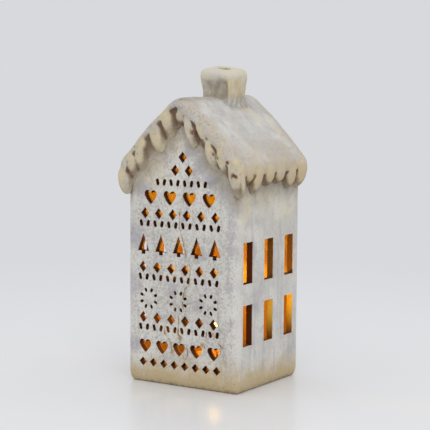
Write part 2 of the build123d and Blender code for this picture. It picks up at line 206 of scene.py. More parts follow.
class FinishSettings(bpy.types.PropertyGroup):
    """Colours of the limewash, the clay under it and the candle."""

    limewash: colour_setting("Limewash", "Grey white wash over most of the house", (195, 193, 188))
    chalk: colour_setting("Chalk", "Whiter patches where the wash lies thick", (211, 209, 203))
    cream: colour_setting("Cream", "Warm wash on the drips and the chimney", (208, 194, 156))
    beige: colour_setting("Beige", "Warm grey wash along the roof's edges", (190, 178, 156))
    # Smudge is a grey wash, also used as painted shade on the front wall just under the roof's edge.
    smudge_and_shade: colour_setting("Smudge", "Grey smears of thin wash", (166, 163, 169))
    # Grime is brown grey dirt together with painted shade under the roof's edges, in hollows and round
    # the chimney.
    grime_and_shade: colour_setting("Grime", "Brown grey dirt under the roof's edges", (144, 132, 112))
    ochre: colour_setting("Ochre", "Stain along the foot of the walls", (186, 164, 121))
    # Recess is painted shadow between the drips, under the roof's edges and along the walls' very foot.
    recess: colour_setting("Recess", "Dirt in the hollows between the drips", (100, 74, 52))
    # Inside and Terracotta are bare clay with painted candlelight, bright high up and darker low down.
    inside: colour_setting("Inside", "Bare clay inside the house", (214, 184, 70))
    terracotta: colour_setting("Terracotta", "Darker clay low inside the house", (150, 106, 36))
    # Reveal is the clay of the cut edges darkened with painted shade.
    reveal: colour_setting("Reveal", "Brown clay of the cut edges", (80, 37, 5))
    stain: colour_setting("Stain", "Olive stain round the hairline cracks", (156, 128, 78))
    chip: colour_setting("Chip", "Red brown clay where the wash is worn off", (100, 58, 36))
    aluminium: colour_setting("Aluminium", "Rolled foil of the tealight cup", (206, 208, 210))
    wax: colour_setting("Wax", "Paraffin wax", (206, 150, 66))
    wick: colour_setting("Wick", "Charred cotton", (42, 36, 30))


class RoofSettings(bpy.types.PropertyGroup):
    """Sizes of the soft clay roof."""

    grain: length_setting("Clay grain", "Size of the finest shape in the clay", 0.68)
    verge_recess: length_setting("Verge recess", "How far the roof edge lies behind the lobes", 0.5)
    lump: length_setting("Lump", "Height of the hand-pressed unevenness", 0.4)
    flue_diameter: length_setting("Flue diameter", "Hole through the chimney", 8.0)


class TealightSettings(bpy.types.PropertyGroup):
    """Sizes of the candle and its light."""

    pool_depth: length_setting("Pool depth", "How far the wax is melted down", 1.6)
    flame_height: length_setting("Flame height", "Height of the flame over the wick", 26.0)
    flame_width: length_setting("Flame width", "Widest part of the flame", 7.4)
    flame_colour: colour_setting("Flame colour", "Colour of the candle light", (255, 200, 90))
    flame_strength: factor_setting("Flame strength", "Brightness of the flame", 3)
    glow_power: power_setting("Glow power", "Light that fills the house", 0.2)


class StageSettings(bpy.types.PropertyGroup):
    """Camera, floor and studio light."""

    camera_place: FloatVectorProperty(
        name="Camera place", description="Where the camera stands", subtype="TRANSLATION",
        unit="LENGTH", default=(514.7 * MM, -803.5 * MM, 211.8 * MM),
    )
    camera_turn: FloatVectorProperty(
        name="Camera turn", description="Azimuth, dip and roll of the camera", subtype="EULER",
        unit="ROTATION", default=(math.radians(32.63), math.radians(6.43), math.radians(0.372)),
    )
    lens: factor_setting("Lens", "Focal length on a 36 mm sensor, in millimetres", 126.87)
    floor_colour: colour_setting("Floor colour", "Pale floor", (225, 226, 228))
    backdrop_colour: colour_setting("Backdrop colour", "Pale backdrop", (216, 217, 221))
    fade_start: length_setting("Fade start", "How far from the house the floor starts to fade", 140)
    fade_end: length_setting("Fade end", "How far from the house the floor is all backdrop", 600)
    sky_strength: factor_setting("Sky strength", "Even light from all round", 0.96)
    key_power: power_setting("Key power", "Soft light from the upper right", 2.5)


# The share of a spot's reach that is painted in full.
SPOT_CORE = 0.3


class Wire:
    """One output socket of a node tree, used in Python sums."""

    def __init__(self, tree, socket):
        self.tree = tree
        self.socket = socket

    def node(self, kind, sockets=(), output=0, **settings):
        """Add any node: its settings first, then the values or links of its sockets."""
        made = self.tree.nodes.new(kind)
        for name, value in settings.items():
            setattr(made, name, value)
        for name, value in dict(sockets).items():
            if isinstance(value, Wire):
                self.tree.links.new(value.socket, made.inputs[name])
            else:
                made.inputs[name].default_value = value
        return Wire(self.tree, made.outputs[output]) if made.outputs else None

    def maths(self, operation, *values):
        """A Math node on numbers and wires."""
        return self.node("ShaderNodeMath", enumerate(values), operation=operation)

    def __add__(self, other):
        return self.maths("ADD", self, other)

    __radd__ = __add__

    def __sub__(self, other):
        return self.maths("SUBTRACT", self, other)

    def __rsub__(self, other):
        return self.maths("SUBTRACT", other, self)

    def __mul__(self, other):
        return self.maths("MULTIPLY", self, other)

    __rmul__ = __mul__

    def least(self, other):
        return self.maths("MINIMUM", self, other)

    def most(self, other):
        return self.maths("MAXIMUM", self, other)

    def size(self):
        return self.maths("ABSOLUTE", self)

    def rise(self, low, high):
        """A soft step from 0 at low to 1 at high."""
        sockets = {"Value": self, "From Min": low, "From Max": high}
        return self.node("ShaderNodeMapRange", sockets, interpolation_type="SMOOTHSTEP")

    def vector(self, operation, *values, output=0):
        """A Vector Math node on this vector and others."""
        sockets = enumerate((self, *values))
        return self.node("ShaderNodeVectorMath", sockets, output, operation=operation)

    def stretched(self, factors):
        return self.vector("MULTIPLY", factors)

    def moved(self, offset):
        return self.vector("ADD", offset)

    def length(self):
        return self.vector("LENGTH", output=1)

    def axes(self):
        """The three coordinates of a vector."""
        return [self.node("ShaderNodeSeparateXYZ", {0: self}, axis) for axis in range(3)]

    def off_axis(self, x, y):
        """How far this place lies from an upright axis."""
        return self.moved((-x, -y, 0)).stretched((1, 1, 0)).length()

    def grain(self, scale, detail=3, roughness=0.55):
        """Noise at this place, from 0 to 1 about 0.5."""
        sockets = {"Vector": self, "Scale": scale, "Detail": detail, "Roughness": roughness}
        return self.node("ShaderNodeTexNoise", sockets)

    def tint(self, under, over):
        """A colour that goes from under to over as this mask goes from 0 to 1."""
        colours = {0: self}
        for socket, colour in ((6, under), (7, over)):
            colours[socket] = colour if isinstance(colour, Wire) else (*colour, 1)
        return self.node("ShaderNodeMix", colours, 2, data_type="RGBA")

    def near(self, spots):
        """How close this place lies to any of some spots, each three coordinates and a reach."""
        nearest = 0
        for *middle, reach in spots:
            gap = self.vector("DISTANCE", middle, output=1)
            nearest = (1 - gap.rise(SPOT_CORE * reach, reach)).most(nearest)
        return nearest


def washed(colour, *layers):
    """A colour with layers over it in order, each a mask and a paint."""
    for mask, over in layers:
        colour = mask.tint(colour, over)
    return colour


def new_material(name):
    """An empty node material and the place on the surface, in millimetres of the shared frame."""
    material = bpy.data.materials.new(name)
    material.use_nodes = True
    material.node_tree.nodes.clear()
    coordinates = material.node_tree.nodes.new("ShaderNodeTexCoord")
    place = Wire(material.node_tree, coordinates.outputs["Object"])
    return material, place.stretched((1 / MM,) * 3)


def close_material(material, place, relief, sockets):
    """Add the shader and the output; relief is a height in millimetres, or None."""
    if relief is not None:
        bump = {"Strength": 0.6, "Distance": MM, "Height": relief}
        sockets["Normal"] = place.node("ShaderNodeBump", bump)
    shader = place.node("ShaderNodeBsdfPrincipled", sockets)
    place.node("ShaderNodeOutputMaterial", {"Surface": shader})
    return material


def limewash_coat(place, strokes, speckle, finish):
    """Mottled wash: chalky clouds, grey smears and a sponged grain. Gives its colour and relief."""
    clouds = place.grain(0.045, 5, 0.62)
    smears = place.moved((31, 7, 13)).grain(0.075, 5, 0.62)
    sponge = place.grain(0.5, 4, 0.62)
    stipple = place.moved((2, 5, 19)).grain(0.8, 2, 0.6)
    colour = washed(
        clouds.rise(0.40, 0.62).tint(finish.limewash, finish.chalk),
        (smears.rise(0.50, 0.74) * 0.6, finish.smudge_and_shade),
        (strokes.rise(0.50, 0.68) * 0.45, finish.smudge_and_shade),
        (sponge.rise(0.52, 0.74) * 0.5, finish.smudge_and_shade),
        ((1 - sponge).rise(0.54, 0.74) * 0.4, finish.chalk),
        (stipple.rise(0.52, 0.64) * speckle * 0.45, finish.grime_and_shade),
        ((1 - stipple).rise(0.52, 0.64) * speckle * 0.7, finish.chalk),
    )
    return colour, clouds * 0.5 + strokes * 0.12 + sponge * 0.3 + stipple * 0.1


def candlelit_clay(place, finish):
    """Bare clay of the inside with painted candlelight: darker low down, paler high up and in a belt
    over the flame.
    """
    tone = place.moved((3, 17, 5)).grain(0.16, 4)
    z = place.axes()[2]
    painted_glow_belt = (z.rise(52, 59) - z.rise(67, 73)) * 0.4
    high_up = (z + (tone - 0.5) * 40).rise(74, 112)
    return high_up.most(painted_glow_belt).tint(finish.terracotta, finish.inside)


# The rounded foot of the walls: its height, how far it draws in, and the levels it bends at.
FOOT_HEIGHT = 7
FOOT_INSET = 3
FOOT_LEVELS = (0.3, 0.7, 1.3, 2, 2.9, 4, 5.3, 7)


def wall_depth(x, y, z):
    """How deep a point lies under the outer face of the walls, whose corners and foot are rounded."""
    across, along = x.size() - (HALF_WIDTH - CORNER_ROUND), y.size() - (HALF_DEPTH - CORNER_ROUND)
    beyond_x, beyond_y = across.most(0), along.most(0)
    rounded = x.maths("SQRT", beyond_x * beyond_x + beyond_y * beyond_y)
    low = (1 - z * (1 / FOOT_HEIGHT)).most(0).least(1)
    drawn_in = FOOT_INSET - FOOT_INSET * z.maths("SQRT", 1 - low * low)
    return CORNER_ROUND - rounded - across.most(along).least(0) - drawn_in


def wall_material(finish):
    """Limewash outside, cut edges darkened with painted shade, and bare clay inside with painted
    candlelight.
    """
    material, place = new_material("limewashed_wall")
    x, y, z = place.axes()
    strokes = place.stretched((0.25, 0.25, 0.03)).grain(1, 3)
    front = (0 - y).rise(HALF_DEPTH - 2.5, HALF_DEPTH - 0.5)
    colour, relief = limewash_coat(place, strokes, 0.2 + front * 0.7, finish)
    wander = place.moved((11, 3, 29)).grain(0.07, 5, 0.62)
    ragged = place.moved((7, 41, 3)).grain(0.3, 4, 0.65)
    uneven = (wander - 0.5) * 26 + (ragged - 0.5) * 12
    on_corner = (x.size() - HALF_WIDTH).least(y.size() - HALF_DEPTH).rise(-6, -1.2)
    upper_right = z.rise(78, 126) * x.rise(HALF_WIDTH - 6, HALF_WIDTH - 1)
    # Painted shade with some dirt: the walls darken just under the roof's edges.
    under_roof = GABLE_PEAK - x.size() - z
    grime_and_shade = 1 - (under_roof + uneven - front * 5).rise(8, 24)
    foot = 1 - (z + uneven - front * x * 0.08).rise(4, 23)
    dots = place.moved((13, 2, 8)).grain(0.5, 3, 0.6).rise(0.60, 0.66) * (1 - z.rise(1, 10))
    colour = washed(
        colour,
        (upper_right * wander.rise(0.35, 0.6) * 0.2, finish.cream),
        (on_corner * wander.rise(0.3, 0.6) * 0.5, finish.chalk),
        (place.near(YELLOWED) * wander.rise(0.3, 0.6) * 0.35, finish.cream),
        # Grey smudges; those under the roof's edge are painted shade.
        (place.near(SMUDGES_AND_SHADE) * (0.35 + (wander + ragged).rise(0.8, 1.15) * 0.5), finish.smudge_and_shade),
        (grime_and_shade * 0.65, finish.grime_and_shade),
        (foot * 0.85, finish.ochre),
        (place.near(STAINS) * ragged.rise(0.42, 0.58) * 0.85, finish.stain),
        (dots * 0.6, finish.stain),
        # Painted shade along the walls' very foot, where they meet the floor.
        ((1 - z.rise(0.6, 3.4)) * ragged.rise(0.45, 0.6) * 0.4, finish.recess),
        (place.grain(0.42, 3, 0.6).rise(0.68, 0.72) * on_corner, finish.chip),
    )
    # Inside the house, and 1.6 mm into the front jambs, the clay gets painted candlelight.
    within = (INNER_HALF_WIDTH + 0.3 - x.size()).rise(0, 0.3) * (y - INNER_FRONT + 1.6).rise(0, 0.6)
    within = within * (INNER_REAR + 0.3 - y).rise(0, 0.3)
    # Painted candlelight on the jambs of the rear windows, mostly in the lower row.
    lit = y.rise(-8, 4) * (z.rise(26, 50) - z.rise(56, 64) * 0.92)
    cut = within.tint(lit.tint(finish.reveal, finish.inside), candlelit_clay(place, finish))
    depth = wall_depth(x, y, z) + (place.grain(0.6, 2) - 0.5) * 0.4
    colour = ((1 - depth.rise(0.25, 0.6)) * z.rise(0.1, 0.5)).tint(cut, colour)
    sockets = {"Base Color": colour, "Roughness": 0.88, "Specular IOR Level": 0.3}
    return close_material(material, place, relief, sockets)


def roof_material(finish):
    """Limewash over soft clay: cream on the lobes, painted shade in the hollows and under the edges,
    chips on the rims.
    """
    material, place = new_material("limewashed_roof")
    x, y, z = place.axes()
    aside, along = x.size(), y.size()
    strokes = place.stretched((0.05, 0.22, 0.05)).grain(1, 4)
    colour, relief = limewash_coat(place, strokes, 0.25, finish)
    hollow, lobe = (
        place.node("ShaderNodeAttribute", (), "Fac", attribute_name=name) for name in ("hollow", "lobe")
    )
    wander = place.moved((5, 23, 2)).grain(0.09, 5, 0.62)
    ragged = place.moved((7, 41, 3)).grain(0.3, 4, 0.65)
    mottle = (wander * 0.5 + ragged * 0.5).rise(0.38, 0.60)
    patches = place.moved((17, 9, 4)).grain(0.06, 4, 0.6)
    veil = place.moved((3, 8, 21)).grain(0.05, 3, 0.5)
    edge = along.rise(VERGE_REACH - 15, VERGE_REACH - 4)
    edge = edge.most(aside.rise(EAVE_REACH - 20, EAVE_REACH - 6))
    flecks = place.moved((4, 4, 9)).grain(0.8, 2, 0.6).rise(0.54, 0.64)
    flecks = flecks * along.rise(VERGE_REACH - 8, VERGE_REACH - 3)

    cap = (z + (wander - 0.5) * 8).rise(CHIMNEY_TOP - 10, CHIMNEY_TOP - 5)
    stack = z.rise(RIDGE_TOP - 4, RIDGE_TOP + 1) * (1 - cap)
    stack_front = (CHIMNEY_Y - y).rise(STACK_HALF_DEPTH - 1.5, STACK_HALF_DEPTH)
    stack_side = aside.rise(STACK_HALF_WIDTH - 1.5, STACK_HALF_WIDTH)
    soot = place.stretched((0.2, 0.2, 0.09)).grain(1, 4, 0.6)
    # Painted shade round the chimney's foot, where it beds into the roof.
    beside = (aside - STACK_HALF_WIDTH).most((y - CHIMNEY_Y).size() - STACK_HALF_DEPTH)
    bedding = (1 - beside.rise(0.5, 6)) * (1 - z.rise(RIDGE_TOP - 2, RIDGE_TOP + 4))

    at_eave = aside.rise(EAVE_REACH - 14, EAVE_REACH - 5)
    at_eave = at_eave * (1 - along.rise(VERGE_REACH - 6, VERGE_REACH - 3))
    drip = lobe * (1 - at_eave * 0.6)
    low = 1 - (z + (wander - 0.5) * 16).rise(131, 146)
    creamy = (drip * mottle * 0.85).most(cap * (0.1 + mottle * 0.5))
    under = RIDGE_TOP + RIDGE_LIFT - aside - z
    # Painted shadow under the roof's rolled edges, where no lobe covers the wall.
    behind = (VERGE_REACH - along).least(EAVE_REACH - aside) + (ragged - 0.5) * 1.5
    recess = behind.rise(1.4, 3.2) * (under + (ragged - 0.5) * 3).rise(4.5, 7)
    # Painted shade in the hollows beside the lobes nearest to the ridge.
    shaded_nook = place.near(SHADED_HOLLOWS) * behind.rise(1.0, 2.4)
    # Painted shade in the hollows of the clay, stronger at the eaves.
    hollow_shade = (hollow * (1 + at_eave * 0.6) + (ragged - 0.5) * 0.5).rise(0.10, 0.6)
    rims = (0 - hollow).rise(0.1, 0.45)
    specks = place.grain(0.38, 3, 0.6).rise(0.68, 0.72) * rims.most(lobe * 0.4)
    worn = place.near(CHIPS) * ragged.rise(0.42, 0.56)

    # The roof's underside inside the house gets painted candlelight.
    inside = (GABLE_PEAK - aside - z).rise(-1.4, -0.8) * (HALF_DEPTH - 1 - along).rise(0, 0.5)
    inside = inside * (HALF_WIDTH - 2 - aside).rise(0, 0.5)
    # The flue's bore takes the reveal colour: painted shade inside the hole.
    flue = 1 - place.off_axis(0, CHIMNEY_Y).rise(4.2, 4.9)
    flue = flue * (1 - z.rise(CHIMNEY_TOP - 2.6, CHIMNEY_TOP - 1.6))
    colour = washed(
        colour,
        (patches.rise(0.5, 0.66) * 0.4, finish.cream),
        (0.12 + veil.rise(0.42, 0.6) * 0.4, finish.smudge_and_shade),
        (edge * wander.rise(0.3, 0.6) * 0.65, finish.beige),
        (edge * ragged.rise(0.5, 0.75) * 0.4, finish.grime_and_shade),
        # Chimney: cream on the sides and painted shade on the front face, over real streaks.
        (stack * stack_side * 0.6, finish.cream),
        (stack * stack_side * soot.rise(0.42, 0.66) * 0.6, finish.ochre),
        (stack * stack_front * (0.3 + soot.rise(0.32, 0.6) * 0.6), finish.grime_and_shade),
        (bedding * ragged.rise(0.35, 0.6) * 0.6, finish.grime_and_shade),
        (cap * 0.5, finish.chalk),
        (flecks * 0.5, finish.grime_and_shade),
        (drip * 0.55, finish.beige),
        (drip * (ragged - wander * 0.4).rise(0.26, 0.44) * 0.55, finish.grime_and_shade),
        (at_eave * low * (0.45 + mottle * 0.4), finish.ochre),
        # Cream on the drips and cap, and a painted highlight on the chimney's front corners.
        (creamy.most(stack * stack_front * stack_side), finish.cream),
        (recess * (1 - (under + (wander - 0.5) * 14).rise(17, 28)) * 0.85, finish.grime_and_shade),
        (recess * (1 - (under + (wander - 0.5) * 10).rise(11, 21)) * 0.75, finish.recess),
        (shaded_nook * (0.4 + ragged.rise(0.4, 0.6) * 0.5), finish.recess),
        (hollow_shade * 0.5, finish.grime_and_shade),
        (hollow_shade * under.rise(3, 6) * 0.8, finish.recess),
        (specks.most(worn), finish.chip),
        (inside, candlelit_clay(place, finish)),
        (flue, finish.reveal),
    )
    return close_material(material, place, relief, {"Base Color": colour, "Roughness": 0.88})


def hairline_material(finish):
    """Ochre stain that has settled in a crack."""
    material, place = new_material("hairline_stain")
    tone = place.grain(0.5, 3)
    colour = (tone.rise(0.4, 0.7) * 0.3).tint(finish.stain, finish.reveal)
    return close_material(material, place, tone * 0.2, {"Base Color": colour, "Roughness": 0.9})


def foil_material(finish):
    """Thin rolled aluminium with fine upright scratches and a film of wax inside and on the rim."""
    material, place = new_material("rolled_foil")
    scratches = place.stretched((2.4, 2.4, 0.12)).grain(1, 3)
    dull = place.grain(0.12, 3)
    film = 1 - place.off_axis(CUP_X, CUP_Y).rise(WAX_RADIUS + 0.05, WAX_RADIUS + 0.2)
    film = film.most(place.axes()[2].rise(WAX_TOP + 1.5, WAX_TOP + 2.2))
    colour = (dull.rise(0.4, 0.7) * 0.3).tint(finish.aluminium, finish.smudge_and_shade)
    sockets = {"Base Color": film.tint(colour, finish.terracotta), "Metallic": 1 - film,
               "Roughness": 0.24 + dull * 0.25 + film * 0.3}
    return close_material(material, place, scratches * 0.06, sockets)


def wax_material(finish):
    """Paraffin, milky at the rim and clearer where it has melted round the wick."""
    material, place = new_material("paraffin")
    reach = place.off_axis(CUP_X, CUP_Y)
    molten = 1 - (reach + place.grain(0.3, 2) * 2).rise(WAX_RADIUS - 4.5, WAX_RADIUS - 2)
    colour = ((1 - reach.rise(3, 12)) * 0.3).tint(finish.wax, finish.terracotta)
    frost = place.grain(0.8, 3) * (1 - molten)
    sockets = {"Base Color": colour, "Roughness": 0.65 - molten * 0.1, "Specular IOR Level": 0.1,
               "Subsurface Weight": 0.2, "Subsurface Radius": (3 * MM, 2.4 * MM, 1.6 * MM)}
    return close_material(material, place, frost * 0.12, sockets)


def wick_material(finish):
    """Cotton, pale at the foot, charred higher up and glowing at the tip."""
    material, place = new_material("charred_cotton")
    z = place.axes()[2]
    char = (z + place.grain(0.7, 2) * 1.6).rise(WAX_TOP - 2.5, WAX_TOP - 0.5)
    ember = z.rise(WAX_TOP - 1, WAX_TOP + 1.5).tint(paint(0, 0, 0), paint(190, 100, 28))
    sockets = {"Base Color": char.tint(finish.wax, finish.wick), "Roughness": 0.95,
               "Emission Color": ember, "Emission Strength": 1.0}
    return close_material(material, place, place.grain(2.2, 2) * 0.1, sockets)


def tinplate_material(finish):
    """Stamped tinplate."""
    material, place = new_material("tinplate")
    dull = place.grain(0.4, 3)
    colour = (dull.rise(0.4, 0.7) * 0.4).tint(finish.aluminium, finish.smudge_and_shade)
    sockets = {"Base Color": colour, "Metallic": 1.0, "Roughness": 0.3 + dull * 0.2}
    return close_material(material, place, dull * 0.03, sockets)


def flame_material(tealight):
    """Candle flame, dark at the foot, yellow in the middle and orange at the tip."""
    material, place = new_material("candle_flame")
    z = place.axes()[2]
    top = WICK_TOP + tealight.flame_height / MM
    body = z.rise(WICK_TOP, WICK_TOP + 7).tint(paint(120, 62, 20), paint(255, 226, 150))
    colour = z.rise(WICK_TOP + 6, top).tint(body, tealight.flame_colour)
    sockets = {"Base Color": (0, 0, 0, 1), "Emission Color": colour,
               "Emission Strength": tealight.flame_strength, "Roughness": 1.0}
    return close_material(material, place, None, sockets)


def seen_rays(tree):
    """1 for the rays that show a surface to the camera, straight, in a reflection or through glass."""
    path = tree.nodes.new("ShaderNodeLightPath")
    names = ("Is Camera Ray", "Is Glossy Ray", "Is Transmission Ray")
    straight, reflected, through = (Wire(tree, path.outputs[name]) for name in names)
    return straight.most(reflected).most(through)


def floor_material(stage):
    """Pale satin floor that fades into the backdrop away from the house."""
    material, place = new_material("pale_floor")
    tone = place.grain(0.02, 3)
    colour = (tone.rise(0.4, 0.7) * 0.03).tint(stage.floor_colour, paint(210, 210, 214))
    near = place.node("ShaderNodeBsdfPrincipled", {"Base Color": colour, "Roughness": 0.27})
    far = place.node("ShaderNodeEmission", {"Color": (*stage.backdrop_colour, 1)})
    fade = place.length().rise(stage.fade_start / MM, stage.fade_end / MM) * seen_rays(place.tree)
    mixed = place.node("ShaderNodeMixShader", {0: fade, 1: near, 2: far})
    place.node("ShaderNodeOutputMaterial", {"Surface": mixed})
    return material


def place_object(name, data):
    """A new object in the scene, at the origin."""
    made = bpy.data.objects.new(name, data)
    bpy.context.scene.collection.objects.link(made)
    return made


def show(name, mesh, material, sharp=None):
    """A finished mesh as a smooth piece with one material, creased where it bends more than sharp."""
    mesh.name = name
    mesh.materials.clear()
    mesh.materials.append(material)
    mesh.shade_smooth()
    if sharp is not None:
        mesh.set_sharp_from_angle(angle=sharp)
    return place_object(name, mesh)


def mesh_of(form):
    """Turn a bmesh into a mesh and free it."""
    mesh = bpy.data.meshes.new("form")
    form.to_mesh(mesh)
    form.free()
    return mesh


def closed(form):
    """A closed bmesh as a mesh with its faces turned outwards."""
    bmesh.ops.recalc_face_normals(form, faces=form.faces)
    return mesh_of(form)


def settled(mesh, add_modifiers):
    """The mesh as it is after the modifiers that add_modifiers puts on an object of it."""
    helper = place_object("helper", mesh)
    add_modifiers(helper)
    graph = bpy.context.evaluated_depsgraph_get()
    result = bpy.data.meshes.new_from_object(helper.evaluated_get(graph), depsgraph=graph)
    bpy.data.objects.remove(helper)
    return result


def combined(meshes, operation):
    """The first mesh joined with, or cut by, the others."""
    others = [place_object("other", mesh) for mesh in meshes[1:]]

    def add_modifiers(helper):
        for other in others:
            modifier = helper.modifiers.new("combine", "BOOLEAN")
            modifier.operation = operation
            modifier.solver = "MANIFOLD"
            modifier.object = other

    result = settled(meshes[0], add_modifiers)
    for other in others:
        bpy.data.objects.remove(other)
    return result


# Points of a solid nearer to each other than this are one.
WELD = 0.001


def joined(meshes, weld=False):
    """Several meshes in one, not fused, their loose triangles joined if asked."""
    form = bmesh.new()
    for mesh in meshes:
        form.from_mesh(mesh)
    if weld:
        bmesh.ops.remove_doubles(form, verts=form.verts, dist=WELD * MM)
    return mesh_of(form)


def grown(mesh, name, values, wire_up, material):
    """The mesh that a geometry node group makes from a mesh; wire_up fills it from its input wires."""
    tree = bpy.data.node_groups.new(name, "GeometryNodeTree")
    for direction in ("INPUT", "OUTPUT"):
        tree.interface.new_socket(name="Geometry", in_out=direction, socket_type="NodeSocketGeometry")
    keys = {}
    for label, value in values.items():
        kind = "NodeSocketInt" if isinstance(value, int) else "NodeSocketFloat"
        keys[label] = tree.interface.new_socket(name=label, in_out="INPUT", socket_type=kind).identifier
    entry = tree.nodes.new("NodeGroupInput")
    made = wire_up({socket.name: Wire(tree, socket) for socket in entry.outputs if socket.name})
    solid = made.node("GeometryNodeRealizeInstances", {"Geometry": made})
    painted = made.node("GeometryNodeSetMaterial", {"Geometry": solid, "Material": material})
    made.node("NodeGroupOutput", {0: painted})

    def add_modifiers(helper):
        modifier = helper.modifiers.new(name, "NODES")
        modifier.node_group = tree
        for label, key in keys.items():
            modifier[key] = values[label]

    return settled(mesh, add_modifiers)


def loft(rings):
    """A closed mesh through rings of equally many points."""
    form = bmesh.new()
    loops = [[form.verts.new(Vector(point) * MM) for point in ring] for ring in rings]
    for low, high in zip(loops, loops[1:]):
        for index in range(len(low)):
            after = (index + 1) % len(low)
            form.faces.new((low[index], low[after], high[after], high[index]))
    form.faces.new(reversed(loops[0]))
    form.faces.new(loops[-1])
    return closed(form)


def turned(profile, segments):
    """A closed mesh turned about the candle's axis from radii and heights, from pole to pole."""
    form = bmesh.new()
    loops = []
    for radius, height in profile:
        turns = [math.tau * step / segments for step in range(segments if radius else 1)]
        ring = [(CUP_X + radius * math.cos(t), CUP_Y + radius * math.sin(t), height) for t in turns]
        loops.append([form.verts.new(Vector(point) * MM) for point in ring])
    for low, high in zip(loops, loops[1:]):
        for step in range(segments):
            after = (step + 1) % segments
            face = [low[at % len(low)] for at in (step, after)]
            face += [high[at % len(high)] for at in (after, step)]
            form.faces.new(list(dict.fromkeys(face)))
    return closed(form)


# The roof: a sheet of clay over a core, with thicker bands along its verges.
PITCH = math.radians(45)
RIDGE_RADIUS = 12
EAVE_RADIUS = 9
EAVE_RECESS = 1.2
EAVE_DROP = 1.5
ROOF_SWELL = 0.9
SHEET_THICKNESS = 5.6
SHEET_ROUND = 4
SHEET_ROLL = 6.5
SHEET_UNDER_ROUND = 1.2
CORE_DEPTH = 2
CORE_RECESS = 3.2
ARC_STEPS = 8
ROLL_STEPS = 5
# Front (-1) and rear (1) band: its thickness on the left and on the right. Bands and coves overlap the
# walls, and the rings of a sheet stay a little apart.
VERGE_BANDS = ((-1, 5.8, 9.5), (1, 7, 7))
OVERLAP = 1
RING_GAP = 0.1


def ridge_arc(across):
    """How far the rounded ridge has fallen at this distance from its middle."""
    reach = np.minimum(across, RIDGE_RADIUS * math.sin(PITCH))
    return RIDGE_RADIUS - np.sqrt(RIDGE_RADIUS ** 2 - reach ** 2) + across - reach


def roof_line(inset):
    """Half of the roof's upper line, this far inside its skin, from the ridge to the eave's end."""
    points = []
    for step in range(ARC_STEPS + 1):
        across = RIDGE_RADIUS * math.sin(PITCH) * step / ARC_STEPS
        points.append((across, RIDGE_TOP - inset - ridge_arc(across)))
    start_x, start_z = points[-1]
    nose_x = EAVE_REACH - EAVE_RECESS - inset - EAVE_RADIUS
    nose_z = start_x + start_z - nose_x - EAVE_RADIUS / math.cos(PITCH)
    end_x = nose_x + EAVE_RADIUS * math.cos(PITCH)
    for step in range(1, ARC_STEPS):
        share = step / ARC_STEPS
        swell = ROOF_SWELL * math.sin(math.pi * share) * math.cos(PITCH)
        along = share * (end_x - start_x)
        points.append((start_x + along + swell, start_z - along + swell))
    for step in range(ARC_STEPS + 1):
        turn = PITCH * (1 - step / ARC_STEPS)
        points.append((nose_x + EAVE_RADIUS * math.cos(turn), nose_z + EAVE_RADIUS * math.sin(turn)))
    points.append((points[-1][0], nose_z - EAVE_DROP))
    return points


def mirrored(half, left=None):
    """Both halves, from left to right, of a line that starts on the middle plane."""
    return [(-across, up) for across, up in reversed((left or half)[1:])] + half


def roof_sheet(recess, end, left, right):
    """Half of the roof's skin, from its middle to a rolled verge, or the band along that verge."""
    reach = VERGE_REACH - recess
    start = 0 if left == SHEET_THICKNESS else HALF_DEPTH - OVERLAP
    rings = []
    for step in range(-1, ROLL_STEPS + 1):
        turn = math.pi / 2 * max(step, 0) / ROLL_STEPS
        fall = 1 - math.cos(turn)
        outer = mirrored(roof_line(SHEET_ROUND * fall))
        inner = mirrored(*(roof_line(thick - SHEET_UNDER_ROUND * fall) for thick in (right, left)))
        y = max(start + RING_GAP, reach - SHEET_ROLL * (1 - math.sin(turn)))
        y = end * (start if step < 0 else y)
        rings.append([(across, y, up) for across, up in outer + inner[::-1]])
    return loft(rings)


def roof_core():
    """The thick of the roof under its skin, which ends behind the lobes."""
    half = roof_line(CORE_DEPTH)
    seat = (HALF_WIDTH + INNER_HALF_WIDTH) / 2
    half += [(seat, half[-1][1]), (seat, GABLE_PEAK - seat)]
    outline = mirrored(half) + [(0, GABLE_PEAK)]
    reach = VERGE_REACH - CORE_RECESS
    return loft([[(across, end * reach, up) for across, up in outline] for end in (-1, 1)])


# Sections of the hollow fillets under the roof's edges: how far out from the wall, and how far up.
VERGE_COVE = ((2.3, 3), (2.3, -1), (1.9, -4), (1.1, -8), (0.3, -12), (-0.5, -14.5), (-0.5, 3))
EAVE_COVE = ((3.4, 1), (2.6, -1), (1.2, -4), (0.2, -7), (-0.5, -8.5), (-0.5, 1))


def verge_cove(side, end):
    """The hollow fillet of clay between half of a verge and its gable."""
    rings = []
    for across in (0, HALF_WIDTH - CORNER_ROUND + OVERLAP):
        peak = GABLE_PEAK - across
        rings.append([(side * across, end * (HALF_DEPTH + out), peak + up) for out, up in VERGE_COVE])
    return loft(rings)


def eave_cove(side):
    """The hollow fillet of clay between an eave and its wall."""
    under = roof_line(0)[-1][1]
    section = [(side * (HALF_WIDTH + out), under + up) for out, up in EAVE_COVE]
    return loft([[(across, end * HALF_DEPTH, up) for across, up in section] for end in (-1, 1)])


# Growth of the chimney's half width at shares of its height, from the roof up.
CHIMNEY_RINGS = (
    (0.0, 2.0), (0.06, 0.9), (0.14, 0.45), (0.3, 0.25), (0.45, 0.5), (0.6, 0.9), (0.75, 1.35),
    (0.86, 1.4), (0.92, 0.9), (0.96, 0.0), (0.99, -1.5), (1.0, -3.5),
)
CHIMNEY_SQUARENESS = 14
CHIMNEY_SIDES = 96
CHIMNEY_SINK = 1.5
# How far the middle of the chimney's top lies under the highest point, and how much the top leans.
TOP_DROP = 1.2
TOP_TILT = 0.11
# The cutter of the flue: its sides, and how much longer it is than the chimney is tall.
FLUE_SIDES = 40
FLUE_OVERRUN = 30


